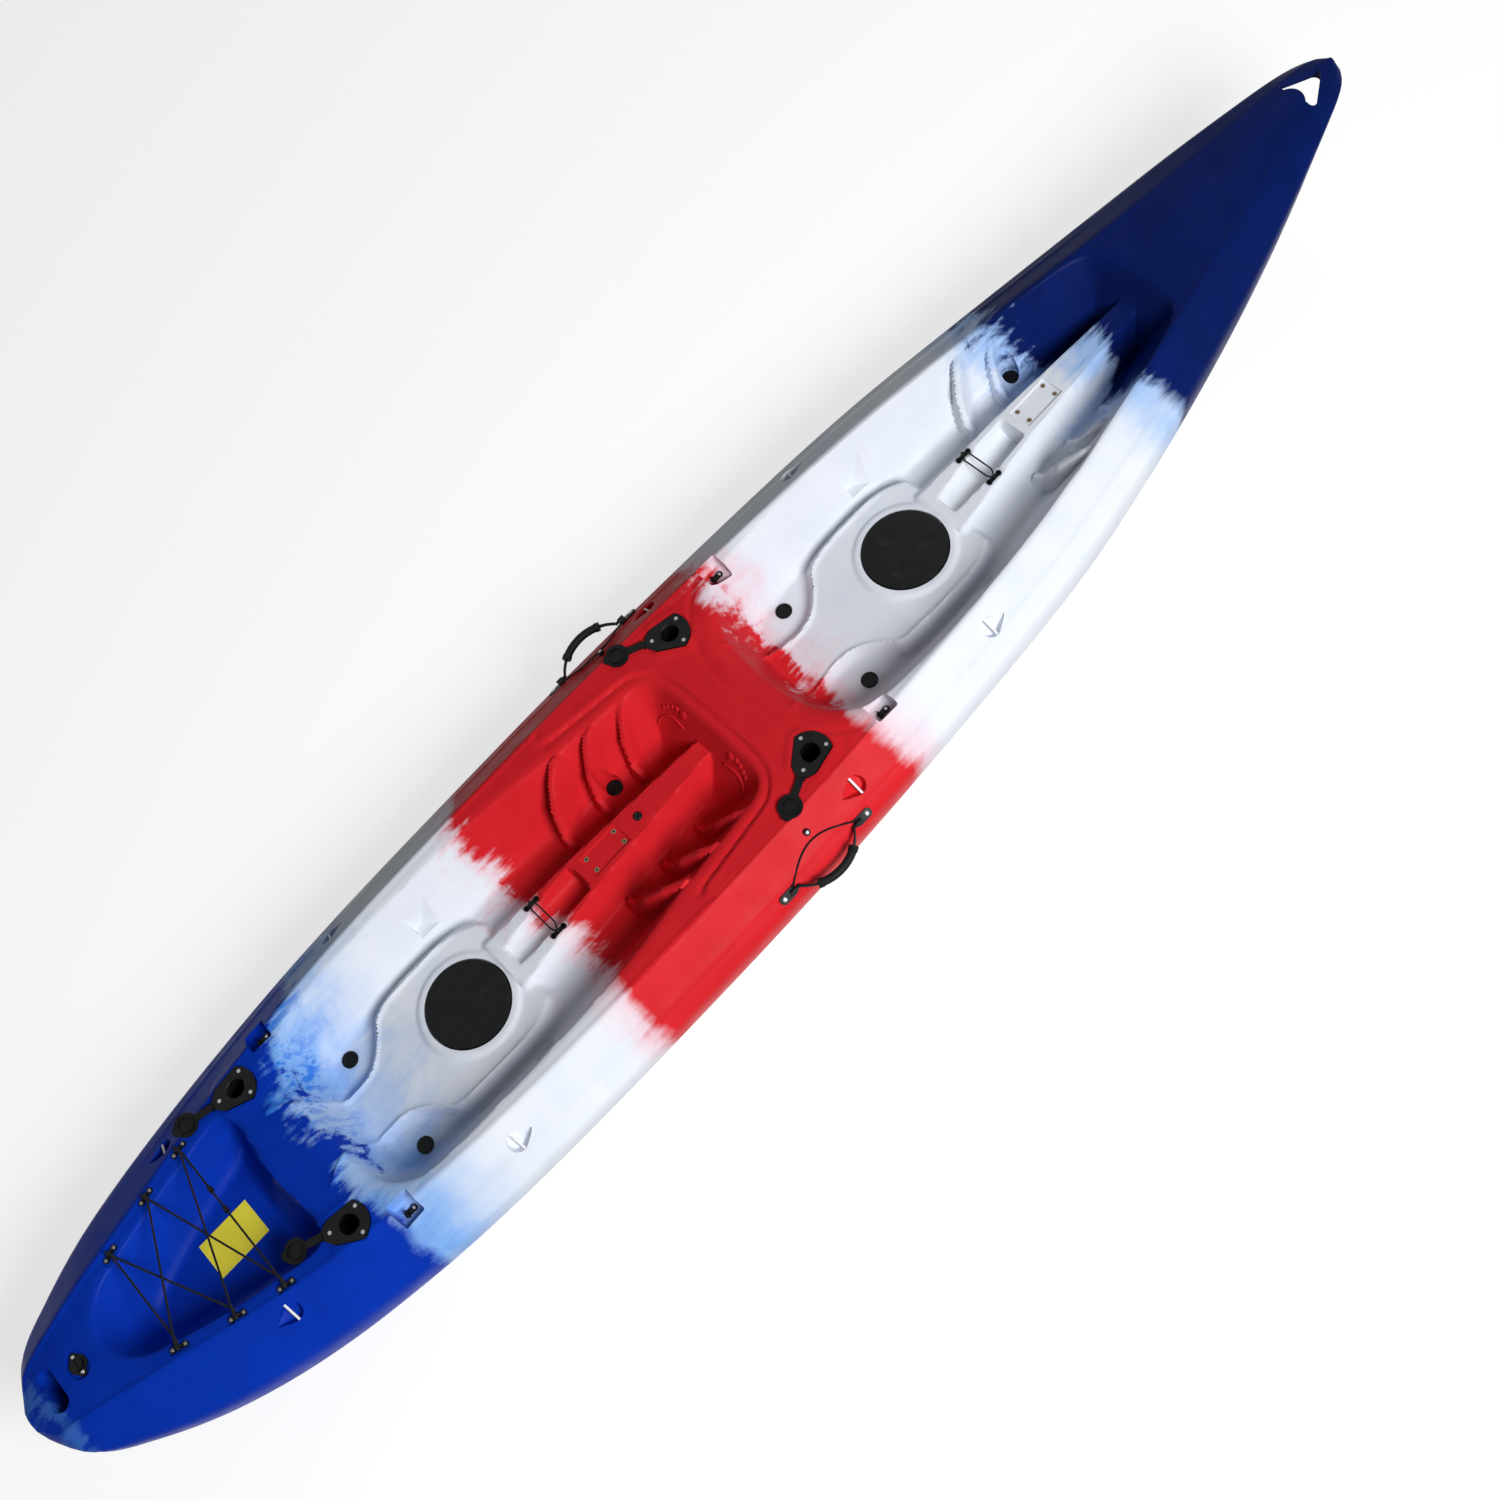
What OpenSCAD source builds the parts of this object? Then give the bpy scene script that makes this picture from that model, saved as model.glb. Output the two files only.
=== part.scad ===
// Two-seat sit-on-top kayak: one hollow moulded hull with its deck fittings.
// Millimetres, X to the bow, Y to port, Z up, origin under the middle of the hull at the keel.

/* [Hull] */
// Length of the hull from stern to bow
length = 4300; // [3580:10:5160]
// Width of the hull, without the side handles
beam = 860; // [716:4:1032]
// Height of the deck amidships above the keel
deck_height = 305; // [254:1:366]
// Thickness of the moulded wall
wall = 4.5; // [3.5:0.5:7]
// Depth of the two cockpits below the deck
cockpit_depth = 153; // [127:1:184]
// Depth of the tankwell below the deck
tankwell_depth = 105; // [87:1:126]

/* [Hatches] */
// Diameter of the hatch covers
hatch_diameter = 212; // [180:2:236]

/* [Rod holders] */
// Bore of the rod holder tubes
rod_bore = 46; // [38:1:55]
// Depth of the rod holder tubes
rod_depth = 200; // [160:5:230]
// Outward lean of the rod holder tubes, in degrees
rod_lean = 10; // [0:1:14]

/* [Fittings] */
// Diameter of the scupper holes
scupper_diameter = 37; // [31:1:44]
// Spacing of the console inserts along the boat
insert_spacing_x = 90; // [75:1:108]
// Spacing of the console inserts across the boat
insert_spacing_y = 38; // [32:1:45]
// Hole in each console insert
insert_bore = 5; // [4:0.5:6]
// Diameter of the tankwell cord
tank_cord = 5; // [4:0.5:6]
// Diameter of the console cords and of the paddle keeper cords
thin_cord = 4; // [3:0.5:5]
// Reach of the side handles beyond their pivots
handle_reach = 46; // [38:1:55]
// Diameter of the handle grips
grip_diameter = 20; // [17:1:24]
// Diameter of the tie-down bars
bar_diameter = 6; // [5:0.5:8]
// Gap left between pieces that seat on, or turn in, each other
clearance = 0.3; // [0.2:0.05:0.5]
// Gap round pieces that pass through the hull's wall
wall_gap = 1; // [0.8:0.1:1.5]
// Length of the plain yellow panel
panel_length = 145; // [120:1:170]

/* [Nodes] */
// Sub-part to draw

/* [Hidden] */

// Ratios to the drawn size, which place every feature along and across the hull
kx = length / 4300;
ky = beam / 860;

// Lines of the hull by station: half breadth at the crease
beam_line = [[-2150, 44], [-2100, 140], [-2000, 208], [-1830, 286], [-1600, 348], [-1300, 397], [-1000, 420],
    [-600, 429], [-100, 428], [400, 407], [800, 375], [1100, 328], [1400, 268], [1700, 196], [1950, 122],
    [2080, 78], [2130, 50], [2150, 24]];
// Height of the crease above the deck height
crease_line = [[-2150, -2], [-2000, -25], [-1600, -72], [-1200, -95], [0, -93], [600, -80], [1100, -66],
    [1500, -34], [2000, 36], [2150, 45]];
// Height of the ridge at the top of the shoulder above the deck height
ridge_line = [[-2150, 14], [-2060, 38], [-1900, 40], [-1650, 16], [-1400, 5], [-900, 3], [0, 3], [600, 3],
    [1100, 8], [1500, 26], [1800, 46], [2060, 66], [2150, 60]];
// Width of the shoulder between ridge and crease
shoulder_line = [[-2150, 22], [-2050, 80], [-1800, 130], [-1400, 125], [-1000, 112], [0, 110], [800, 110],
    [1300, 108], [1700, 90], [2000, 52], [2150, 13]];
// Rise of the keel as a share of the crease height
keel_line = [[-2150, 0.72], [-2100, 0.42], [-2000, 0.16], [-1850, 0.04], [-1650, 0], [1000, 0], [1300, 0.04],
    [1600, 0.14], [1800, 0.31], [1950, 0.56], [2040, 0.78], [2150, 0.9]];
// Sharpness of the bottom: 0 is three flat runners, 1 is a vee
vee_line = [[-2150, 1], [-1900, 0.5], [-1500, 0], [800, 0], [1300, 0.4], [1800, 0.9], [2150, 1]];
stations = concat([-2150, -2142, -2125, -2095, -2050, -1985, -1900], [for (x = [-1800:150:1800]) x],
    [1900, 1980, 2040, 2085, 2118, 2138, 2150]);
inner_stations = concat([-2128, -2095, -2050, -1985, -1900], [for (x = [-1800:150:1800]) x], [1900, 1985]);

// Main levels
seat_z = deck_height - cockpit_depth;
tank_z = deck_height - tankwell_depth;
hatch_z = seat_z + 48;
console_z = seat_z + 86;
open_z = deck_height + 140;

// Places of the fittings, in drawn millimetres before the ratios
cockpit_x = [0, -1475];
hatch_x = 608;
seat_plug = [318, 147];
foot_plug = [[1128, 146], [-272, 144]];
insert_x = 1078;
gland_x = -289;
console_eye = [872, 50];
rod_at = [[75, 239], [-1363, 221]];
rod_z = [deck_height - 1, deck_height + 1];
rod_turn = [[154, -154], [171, 158]];
rod_tilt = [[1, 1], [6, -7]];
tank_eye = [[-1546, 215, 5, 11], [-1664, 186, 13, 15], [-1797, 142, 24, 19]];
tie_at = [[-1581, 0.30, -1], [-984, 0.43, 1], [87, 0.43, -1], [567, 0.43, 1]];
strap_at = [[-1254, 286], [258, 282]];
notch_at = [[-814, 258], [662, 250]];
drain_at = [-1986, 36];
anchor_x = [51, -191];
handle_x = -70;
anchor_t = 0.82;
button_t = 0.33;

// Fitting sizes that follow from the driving sizes
hatch_r = hatch_diameter / 2;
ring_bore_r = hatch_r - 22;
rod_r = rod_bore / 2;
rod_wall = 3.5;
rod_hinge = 22 + rod_bore;
rod_flange = 6;
hinge_z = rod_flange + 1 + clearance;
plug_r = scupper_diameter / 2;
ring_tube = 5.5;
ring_top = 5.2;
ring_sink = 12;
seal_r = 2;
seal_z = ring_top + clearance + seal_r;
foot_top = 4 + clearance;
drain_r = 10.5;
drain_tube = 13.6;
socket_r = 4.2;
seat_low = -2.5;
pivot_z = seat_low + 9 + clearance;

// Smooth curve through the points of a line
function segment(line, x, i = 0) = (i >= len(line) - 2 || x < line[i + 1][0]) ? i : segment(line, x, i + 1);
function slope(line, i) = let (a = max(i - 1, 0), b = min(i + 1, len(line) - 1))
    (line[b][1] - line[a][1]) / (line[b][0] - line[a][0]);
function curve(line, x) = let (i = segment(line, x), h = line[i + 1][0] - line[i][0],
    u = max(0, min(1, (x - line[i][0]) / h)), p = line[i][1], q = line[i + 1][1])
    p * (2 * u * u * u - 3 * u * u + 1) + q * (3 * u * u - 2 * u * u * u)
    + h * slope(line, i) * (u * u * u - 2 * u * u + u) + h * slope(line, i + 1) * (u * u * u - u * u);
function mix(a, b, u) = a + (b - a) * u;

// Measures of the hull at a station
function half_beam(x) = curve(beam_line, x) * ky;
function shoulder(x) = curve(shoulder_line, x) * ky;
function crease_z(x) = deck_height + curve(crease_line, x);
function ridge_z(x) = deck_height + curve(ridge_line, x);
function keel_z(x) = max(0, curve(keel_line, x)) * crease_z(x);

// Port half of a section, from the keel up to the middle of the deck
function half_section(x) = let (b = half_beam(x), k = keel_z(x), c = crease_z(x), r = ridge_z(x),
    v = max(0, min(1, curve(vee_line, x))), h = c - k, d = b - shoulder(x), lip = min(14, 0.15 * d))
    [[0, k], [min(28, 0.25 * b), k], [0.33 * b, k + mix(14, 0.17 * h, v)],
    [0.46 * b, k + 0.30 * h * v], [0.58 * b, k + 0.38 * h * v],
    [0.80 * b, k + mix(0.17, 0.56, v) * h], [0.91 * b, k + mix(0.40, 0.73, v) * h],
    [0.965 * b, k + mix(0.70, 0.87, v) * h], [b, c], [d, r], [d - lip, r - 3], [0, r - 3]];
function section(x) = let (h = half_section(x), n = len(h))
    concat(h, [for (i = [n - 2:-1:1]) [-h[i][0], h[i][1]]]);
function unit(v) = v / max(norm(v), 0.000001);
function inset(p, w) = let (n = len(p)) [for (i = [0:n - 1])
    let (d = unit(p[i] - p[(i + n - 1) % n]), e = unit(p[(i + 1) % n] - p[i]),
        m = [-d[1] - e[1], d[0] + e[0]]) p[i] + m * w * 2 / max(m * m, 1)];
function place(x, p) = [for (q = p) [x * kx, q[0], q[1]]];

// Skin through rings of points
module loft(rings, closed = false) {
    n = len(rings[0]);
    m = len(rings);
    walls = [for (j = [0:closed ? m - 1 : m - 2]) for (i = [0:n - 1])
        let (a = j * n + i, b = j * n + (i + 1) % n,
            c = ((j + 1) % m) * n + (i + 1) % n, d = ((j + 1) % m) * n + i)
        each [[a, c, b], [a, d, c]]];
    ends = closed ? [] : [[for (i = [0:n - 1]) i], [for (i = [n - 1:-1:0]) (m - 1) * n + i]];
    polyhedron(points = [for (r = rings) each r], faces = concat(walls, ends));
}

// Round tube along a route; aside is a direction the route never runs in
module tube(route, r, aside, closed = false, sides = 8) {
    n = len(route);
    rings = [for (i = [0:n - 1])
        let (a = closed ? route[(i + n - 1) % n] : route[max(i - 1, 0)],
            b = closed ? route[(i + 1) % n] : route[min(i + 1, n - 1)],
            t = unit(unit(b - route[i]) + unit(route[i] - a)),
            u = unit(aside - t * (aside * t)), w = cross(t, u))
        [for (k = [0:sides - 1]) route[i] + r * (u * cos(k * 360 / sides) + w * sin(k * 360 / sides))]];
    loft(rings, closed);
}

// Block through a few corner points
module block(points) {
    hull() for (p = points) translate(p) cube(0.1, center = true);
}

module mirrored() {
    children();
    mirror([0, 1, 0]) children();
}

module side(s) {
    if (s > 0) children();
    else mirror([0, 1, 0]) children();
}

// Frame on the shoulder: Z out of the surface, Y down the slope, t runs from the ridge to the crease
module on_shoulder(x, t) {
    r = ridge_z(x);
    c = crease_z(x);
    translate([x * kx, half_beam(x) - shoulder(x) * (1 - t), mix(r, c, t)])
        rotate([-atan2(r - c, shoulder(x)), 0, 0]) children();
}

// Well between a floor outline and a deck outline, both given as corners [x, y, radius]
module well(floor_at, deck_at, floor_z, grow) {
    hull() {
        for (p = floor_at) for (s = [-1, 1]) translate([p[0] * kx, s * p[1] * ky, floor_z - grow])
            cylinder(r = p[2] + grow, h = 0.1, $fn = 16);
        for (p = deck_at) for (s = [-1, 1]) translate([p[0] * kx, s * p[1] * ky, deck_height + 5])
            cylinder(r = p[2] + grow, h = open_z - deck_height, $fn = 16);
    }
}

// Console ridge with its trough, between the seat and the front of the footwells
module console(back, nose, grow) {
    difference() {
        block([for (s = [-1, 1]) each [
            [(back - 30) * kx, s * (108 - grow), seat_z - 8],
            [back * kx, s * (74 - grow), hatch_z + 4 - grow],
            [(back + 255) * kx, s * (52 - grow), console_z - grow],
            [(back + 255) * kx, s * (84 - grow), seat_z - 8],
            [nose * kx, s * (24 - grow / 2), console_z + 8 - grow],
            [(nose + 40) * kx, s * (46 - grow / 2), seat_z - 8]]]);
        translate([(back + 14) * kx - grow, 0, hatch_z + 32]) rotate([0, 90, 0])
            cylinder(r = 40 + grow, h = 236 * kx + 2 * grow, $fn = 32);
    }
}

// Raised round seat of a hatch, running out into the seat behind it
module hatch_seat(x, grow) {
    hull() {
        translate([x * kx, 0, seat_z - 8]) cylinder(r = hatch_r + 46 - grow, h = 0.1, $fn = 24);
        translate([x * kx, 0, seat_z])
            cylinder(r = hatch_r + 22 - grow, h = hatch_z - seat_z - grow, $fn = 24);
        translate([(x - 250) * kx, 0, seat_z - 8]) cylinder(r = 60 - grow, h = 12, $fn = 16);
    }
}

// One stepped foot brace on the port wall of a footwell
module foot_step(x) {
    block([[x * kx, 124 * ky, seat_z - 6], [(x - 4) * kx, 192 * ky, seat_z - 6],
        [(x + 46) * kx, 190 * ky, seat_z - 6],
        [(x + 92) * kx, 214 * ky, deck_height - 26], [(x + 86) * kx, 252 * ky, deck_height - 26],
        [(x + 128) * kx, 246 * ky, deck_height - 26]]);
}

// Everything hollowed into the deck
module deck_wells(grow) {
    difference() {
        union() {
            well([[-1195, 140, 50], [-150, 128, 46]], [[-1160, 130, 150], [-560, 215, 60], [-85, 140, 62]],
                seat_z, grow);
            well([[280, 140, 50], [1180, 125, 46], [1330, 70, 40]],
                [[300, 130, 150], [915, 190, 56], [1200, 148, 50], [1395, 85, 50]], seat_z, grow);
            well([[-1480, 118, 45], [-1680, 84, 45], [-1835, 22, 42]],
                [[-1475, 150, 60], [-1560, 140, 60], [-1680, 115, 55], [-1800, 75, 55], [-1870, 20, 50]],
                tank_z, grow);
        }
        console(hatch_x - 1475 + 132, -76, grow);
        console(hatch_x + 132, 1420, grow);
        hatch_seat(hatch_x, grow);
        hatch_seat(hatch_x - 1475, grow);
    }
    for (p = notch_at) mirrored() translate([p[0] * kx - 40 - grow, (p[1] - 60) * ky, seat_z + 42 - grow])
        cube([80 + 2 * grow, 68 * ky + grow, open_z]);
    for (p = strap_at) mirrored()
        translate([p[0] * kx - 30 - grow, (p[1] - 30) * ky - grow, deck_height - 43 - grow])
        cube([60 + 2 * grow, 60 * ky + 2 * grow, open_z]);
    for (p = tie_at) tie_place(p) tie_recess(grow);
    for (c = cockpit_x) translate([(hatch_x + c) * kx, 0, hatch_z - ring_sink - grow])
        cylinder(r = hatch_r + 3 + grow, h = 90, $fn = 32);
    translate([-2062 * kx, 0, -1]) slot_shape(22 + grow, 34);
}

// Tie-down cup: round with one drawn-out corner, which faces the bow or the stern
module tie_place(p) {
    mirrored() on_shoulder(p[0], p[1]) mirror([p[2] > 0 ? 1 : 0, 0, 0]) children();
}

module tie_recess(grow) {
    hull() {
        translate([3, 0, -19 - grow]) cylinder(r1 = 19 + grow, r2 = 27 + grow, h = 32 + grow, $fn = 16);
        translate([-38, 0, -6 - grow]) cylinder(r = 3 + grow, h = 19 + grow, $fn = 8);
    }
}

module slot_shape(r, reach) {
    hull() for (s = [-1, 1]) translate([0, s * reach * ky, 0]) cylinder(r = r, h = open_z, $fn = 12);
}

// Grab slot of the bow: a triangle with the deck's rounded tongue left in its back edge
module bow_outline() {
    difference() {
        hull() {
            translate([2088 * kx, 0]) circle(r = 15, $fn = 16);
            for (s = [-1, 1]) translate([2026 * kx, s * 46 * ky]) circle(r = 9, $fn = 16);
        }
        translate([1990 * kx, 0]) circle(r = 42, $fn = 40);
    }
}

// The slot opens out below its rim, which leaves a grip for the hand
module bow_slot() {
    linear_extrude(open_z) bow_outline();
    linear_extrude(ridge_z(2060) - 34) offset(delta = 14) bow_outline();
}

module rod_place(i, s) {
    translate([rod_at[i][0] * kx, s * rod_at[i][1] * ky, rod_z[i]]) children();
}

// Flat seats of the fittings; grown by the wall, they keep the hollow clear of each seat
module fitting_seats(grow) {
    for (i = [0, 1]) for (s = [-1, 1]) rod_place(i, s) rotate([0, 0, rod_turn[i][s > 0 ? 0 : 1]])
        translate([0, 0, -grow]) linear_extrude(60) hull() {
            offset(delta = 2 + grow) rod_outline();
            translate([rod_hinge - 8, 0]) square([30 + 2 * grow, 34 + 2 * grow], center = true);
        }
    for (i = [0:2]) mirrored() tank_eye_at(i) translate([0, -11, 30 - grow])
        cube([52 + 2 * grow, 44 + 2 * grow, 60], center = true);
    for (c = cockpit_x) {
        mirrored() translate([(console_eye[0] + c) * kx, console_eye[1] + 40, console_z + 12 - grow])
            cube([54 + 2 * grow, 100 + 2 * grow, 60], center = true);
        translate([(insert_x + c) * kx, 0, console_z + 28 - grow])
            cube([insert_spacing_x + 28 + 2 * grow, insert_spacing_y + 24 + 2 * grow, 60], center = true);
    }
    gland_place() translate([0, 0, -grow]) cylinder(r = 12.5 + grow, h = 40, $fn = 12);
    drain_place() translate([0, 0, -grow]) hull() for (s = [-1, 1]) translate([0, s * 12, 0])
        cylinder(r = 24 + grow, h = 40, $fn = 16);
    mirrored() for (x = anchor_x) handle_frame() translate([(x - handle_x) * kx, 0, seat_low + 10 - grow])
        cube([60 + 2 * grow, 29 + 2 * grow, 20], center = true);
    mirrored() on_shoulder(-63, button_t) translate([0, 0, -1.5 - grow])
        cylinder(r = 9.5 + grow, h = 20, $fn = 12);
}

// Holes for the fittings, cut through the wall
module fitting_holes() {
    for (i = [0, 1]) for (s = [-1, 1]) rod_place(i, s) rotate([-s * rod_lean, 0, 0]) translate([0, 0, -60])
        cylinder(r = rod_r + rod_wall + wall_gap, h = 90, $fn = 16);
    for (c = cockpit_x) {
        translate([(hatch_x + c) * kx, 0, hatch_z - 60])
            cylinder(r = ring_bore_r + ring_tube + wall_gap, h = 90, $fn = 32);
        insert_places(c) translate([0, 0, -16]) cylinder(r = 5.6, h = 40, $fn = 10);
        for (p = [seat_plug, foot_plug[c == 0 ? 0 : 1]]) let (x = p == seat_plug ? p[0] + c : p[0])
            mirrored() translate([x * kx, p[1] * ky, -1]) cylinder(r = plug_r, h = seat_z + 60, $fn = 16);
    }
    gland_place() translate([0, 0, -20]) cylinder(r = 7, h = 40, $fn = 16);
    drain_place() translate([0, 0, -30]) cylinder(r = drain_tube + wall_gap, h = 40, $fn = 16);
    bow_slot();
}

module handle_frame() {
    on_shoulder(handle_x, anchor_t) children();
}

// Solid posts in the hollow, which carry the scupper holes down to the bottom
module scupper_posts() {
    for (c = cockpit_x) for (p = [seat_plug, foot_plug[c == 0 ? 0 : 1]])
        let (x = p == seat_plug ? p[0] + c : p[0])
        mirrored() translate([x * kx, p[1] * ky, -1]) cylinder(r = plug_r + wall, h = seat_z + 20, $fn = 16);
}

module hull_shell() {
    color([0.85, 0.86, 0.9]) difference() {
        union() {
            difference() {
                loft([for (x = stations) place(x, section(x))]);
                deck_wells(0);
            }
            mirrored() for (x = [-208, -324, -440]) foot_step(x);
            mirrored() for (x = [1185, 1069, 953]) foot_step(x);
        }
        difference() {
            loft([for (x = inner_stations) place(x, inset(section(x), wall))]);
            deck_wells(wall);
            scupper_posts();
            fitting_seats(wall);
        }
        fitting_seats(0);
        fitting_holes();
    }
}

// Hatch: ring screwed to the deck, sealing ring and turn-to-lock cover
module hatch_place(c) {
    translate([(hatch_x + c) * kx, 0, hatch_z - ring_sink]) children();
}

module hatch_ring(c) {
    color([0.06, 0.06, 0.06]) hatch_place(c) difference() {
        union() {
            rotate_extrude($fn = 96) polygon([[ring_bore_r, -26], [ring_bore_r + ring_tube, -26],
                [ring_bore_r + ring_tube, clearance], [hatch_r + 1.5, clearance],
                [hatch_r + 1.5, ring_top - 1], [hatch_r + 0.5, ring_top], [ring_bore_r, ring_top]]);
            for (a = [60, 180, 300]) rotate([0, 0, a - 25]) rotate_extrude(angle = 50, $fn = 96)
                translate([ring_bore_r - 6, -9]) square([7, 4]);
        }
        hatch_screw_places() translate([0, 0, -1]) cylinder(r = 2.6, h = 10, $fn = 24);
        hatch_screw_places() translate([0, 0, 2.6]) cylinder(r1 = 2.6, r2 = 5, h = 3, $fn = 24);
    }
}

module hatch_screw_places() {
    for (k = [0:5]) rotate([0, 0, 60 * k + 30]) translate([hatch_r - 5.2, 0, 0]) children();
}

module hatch_seal(c) {
    color([0.12, 0.12, 0.12]) hatch_place(c) translate([0, 0, seal_z]) rotate_extrude($fn = 96)
        translate([ring_bore_r + 10, 0]) circle(r = seal_r, $fn = 24);
}

module hatch_cover(c) {
    s = ring_bore_r - 7;
    groove = seal_r + clearance;
    brim = ring_top + 1.1;
    color([0.08, 0.08, 0.08]) hatch_place(c) difference() {
        union() {
            rotate_extrude($fn = 96) polygon([[0, 10], [s - 5, 10], [s - 5, -16], [s, -16], [s, brim],
                [ring_bore_r + 10 - groove, brim], [ring_bore_r + 10 - groove, seal_z + groove],
                [ring_bore_r + 10 + groove, seal_z + groove], [ring_bore_r + 10 + groove, brim],
                [hatch_r - 1, brim], [hatch_r, brim + 1], [hatch_r, 13], [hatch_r - 1.5, 15],
                [hatch_r - 5, 16], [hatch_r - 30, 17.5], [0, 18]]);
            for (a = [0, 120, 240]) rotate([0, 0, a - 14]) rotate_extrude(angle = 28, $fn = 96)
                translate([s - 1, -15]) square([6.2, 4]);
        }
        for (a = [94, 214, 334]) rotate([0, 0, a]) translate([hatch_r * 0.52, 0, 77])
            sphere(r = 64, $fn = 96);
    }
}

module hatch_screws() {
    color([0.75, 0.75, 0.77]) for (c = cockpit_x) hatch_place(c) hatch_screw_places() {
        translate([0, 0, -9]) cylinder(r = 2.2, h = 13.4, $fn = 24);
        translate([0, 0, 2.8]) cylinder(r1 = 2.2, r2 = 4, h = 2.2, $fn = 24);
    }
}

// Rod holder: flange with a closed leaning tube, and a cap on a tether
module rod_screw_places() {
    for (p = [[-26, 31], [-26, -31], [rod_hinge - 22, 0]]) translate([p[0], p[1], 0]) children();
}

// Shield-shaped outline of the flange: one wide round end, straight sides to the hinge
module rod_outline() {
    w = rod_r + 23;
    reach = rod_hinge - 6;
    polygon(concat([for (a = [-57:9.5:57]) [5 - (w + 9) * cos(a), (w + 9) * sin(a)]],
        [[rod_hinge - 25, 30], [reach - 4, 17], [reach, 13], [reach, -13], [reach - 4, -17],
        [rod_hinge - 25, -30]]));
}

module rod_holder(i, s) {
    turn = rod_turn[i][s > 0 ? 0 : 1];
    reach = rod_hinge - 6;
    color([0.07, 0.07, 0.07]) rod_place(i, s) difference() {
        union() {
            rotate([0, 0, turn]) {
                linear_extrude(rod_flange) rod_outline();
                translate([reach - 2, -10, 0]) cube([10, 20, 4.2]);
            }
            rotate([-s * rod_lean, 0, 0]) translate([0, 0, -rod_depth - rod_wall])
                cylinder(r = rod_r + rod_wall, h = rod_depth + rod_wall + 0.5, $fn = 72);
        }
        rotate([-s * rod_lean, 0, 0]) {
            translate([0, 0, -rod_depth]) cylinder(r = rod_r, h = rod_depth + 40, $fn = 72);
            translate([0, 0, rod_flange - 2.2]) cylinder(r1 = rod_r, r2 = rod_r + 6, h = 6, $fn = 72);
        }
        rotate([0, 0, turn]) rod_screw_places() {
            translate([0, 0, -1]) cylinder(r = 2.6, h = 10, $fn = 24);
            translate([0, 0, rod_flange - 2.8]) cylinder(r1 = 2.6, r2 = 5.8, h = 3.2, $fn = 24);
        }
    }
}

module rod_cap(i, s) {
    turn = rod_turn[i][s > 0 ? 0 : 1];
    tilt = rod_tilt[i][s > 0 ? 0 : 1];
    color([0.1, 0.1, 0.1]) rod_place(i, s) rotate([0, 0, turn]) translate([rod_hinge, 0, hinge_z])
        rotate([0, -tilt, 0]) difference() {
        union() {
            rotate([90, 0, 0]) translate([0, 0, -9]) cylinder(r = 2.6, h = 18, $fn = 32);
            translate([0, -9, -2.5]) cube([rod_hinge - rod_r, 18, 2.6]);
            translate([rod_hinge, 0, -4]) {
                cylinder(r = rod_r + 6, h = 5, $fn = 72);
                linear_extrude(5) polygon([[10, -rod_r - 2], [rod_r + 9, -9], [rod_r + 12, -5],
                    [rod_r + 12, 5], [rod_r + 9, 9], [10, rod_r + 2]]);
                translate([0, 0, 4]) cylinder(r1 = rod_r - 1.6, r2 = rod_r - 2.6, h = 7, $fn = 72);
            }
        }
        translate([rod_hinge, 0, 2.6]) cylinder(r = rod_r - 6, h = 10, $fn = 72);
    }
}

module rod_screws() {
    color([0.78, 0.78, 0.8]) for (i = [0, 1]) for (s = [-1, 1]) rod_place(i, s)
        rotate([0, 0, rod_turn[i][s > 0 ? 0 : 1]]) rod_screw_places() {
            translate([0, 0, -9]) cylinder(r = 2.2, h = 13.6, $fn = 24);
            translate([0, 0, rod_flange - 2.5]) cylinder(r1 = 2.2, r2 = 4.6, h = 2.3, $fn = 24);
        }
}

// Cord eye: a foot with two screw bosses and an arch over the cord
module cord_eye(height) {
    difference() {
        union() {
            for (s = [-1, 1]) translate([16 * s, 0, clearance]) cylinder(r = 7, h = 4, $fn = 36);
            translate([-16, -5, clearance]) cube([32, 10, 2.7]);
            translate([0, 0, 2.8]) rotate([90, 0, 0]) arch(height);
        }
        for (s = [-1, 1]) translate([16 * s, 0, -1]) cylinder(r = 2.3, h = 10, $fn = 24);
    }
}

module arch(height) {
    translate([0, height - 8.6, 0]) rotate_extrude(angle = 180, $fn = 64)
        translate([8.6, 0]) circle(r = 2.1, $fn = 24);
    for (s = [-1, 1]) translate([8.6 * s, 0, 0]) rotate([-90, 0, 0])
        cylinder(r = 2.1, h = height - 8.6, $fn = 24);
}

module tank_eye_at(i) {
    e = tank_eye[i];
    translate([e[0] * kx, e[1] * ky, deck_height + e[2]]) rotate([0, 0, e[3]]) children();
}

module tank_eye(i, s) {
    color([0.06, 0.06, 0.06]) side(s) tank_eye_at(i) cord_eye(9.1);
}

module console_eye_at(c) {
    mirrored() translate([(console_eye[0] + c) * kx, console_eye[1], console_z - 18]) children();
}

module console_eyes(c) {
    color([0.06, 0.06, 0.06]) console_eye_at(c) cord_eye(9.1);
}

module pan_screw(depth) {
    translate([0, 0, -depth]) cylinder(r = 1.9, h = depth + 1, $fn = 24);
    rotate_extrude($fn = 36)
        polygon([[0, clearance], [4.4, clearance], [4.4, 1.1], [3.6, 2], [2, 2.6], [0, 2.8]]);
}

module eye_screws() {
    color([0.78, 0.78, 0.8]) {
        for (i = [0:2]) mirrored() tank_eye_at(i) for (s = [-1, 1])
            translate([16 * s, 0, foot_top]) pan_screw(13);
        for (c = cockpit_x) console_eye_at(c) for (s = [-1, 1])
            translate([16 * s, 0, foot_top]) pan_screw(13);
    }
}

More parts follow.
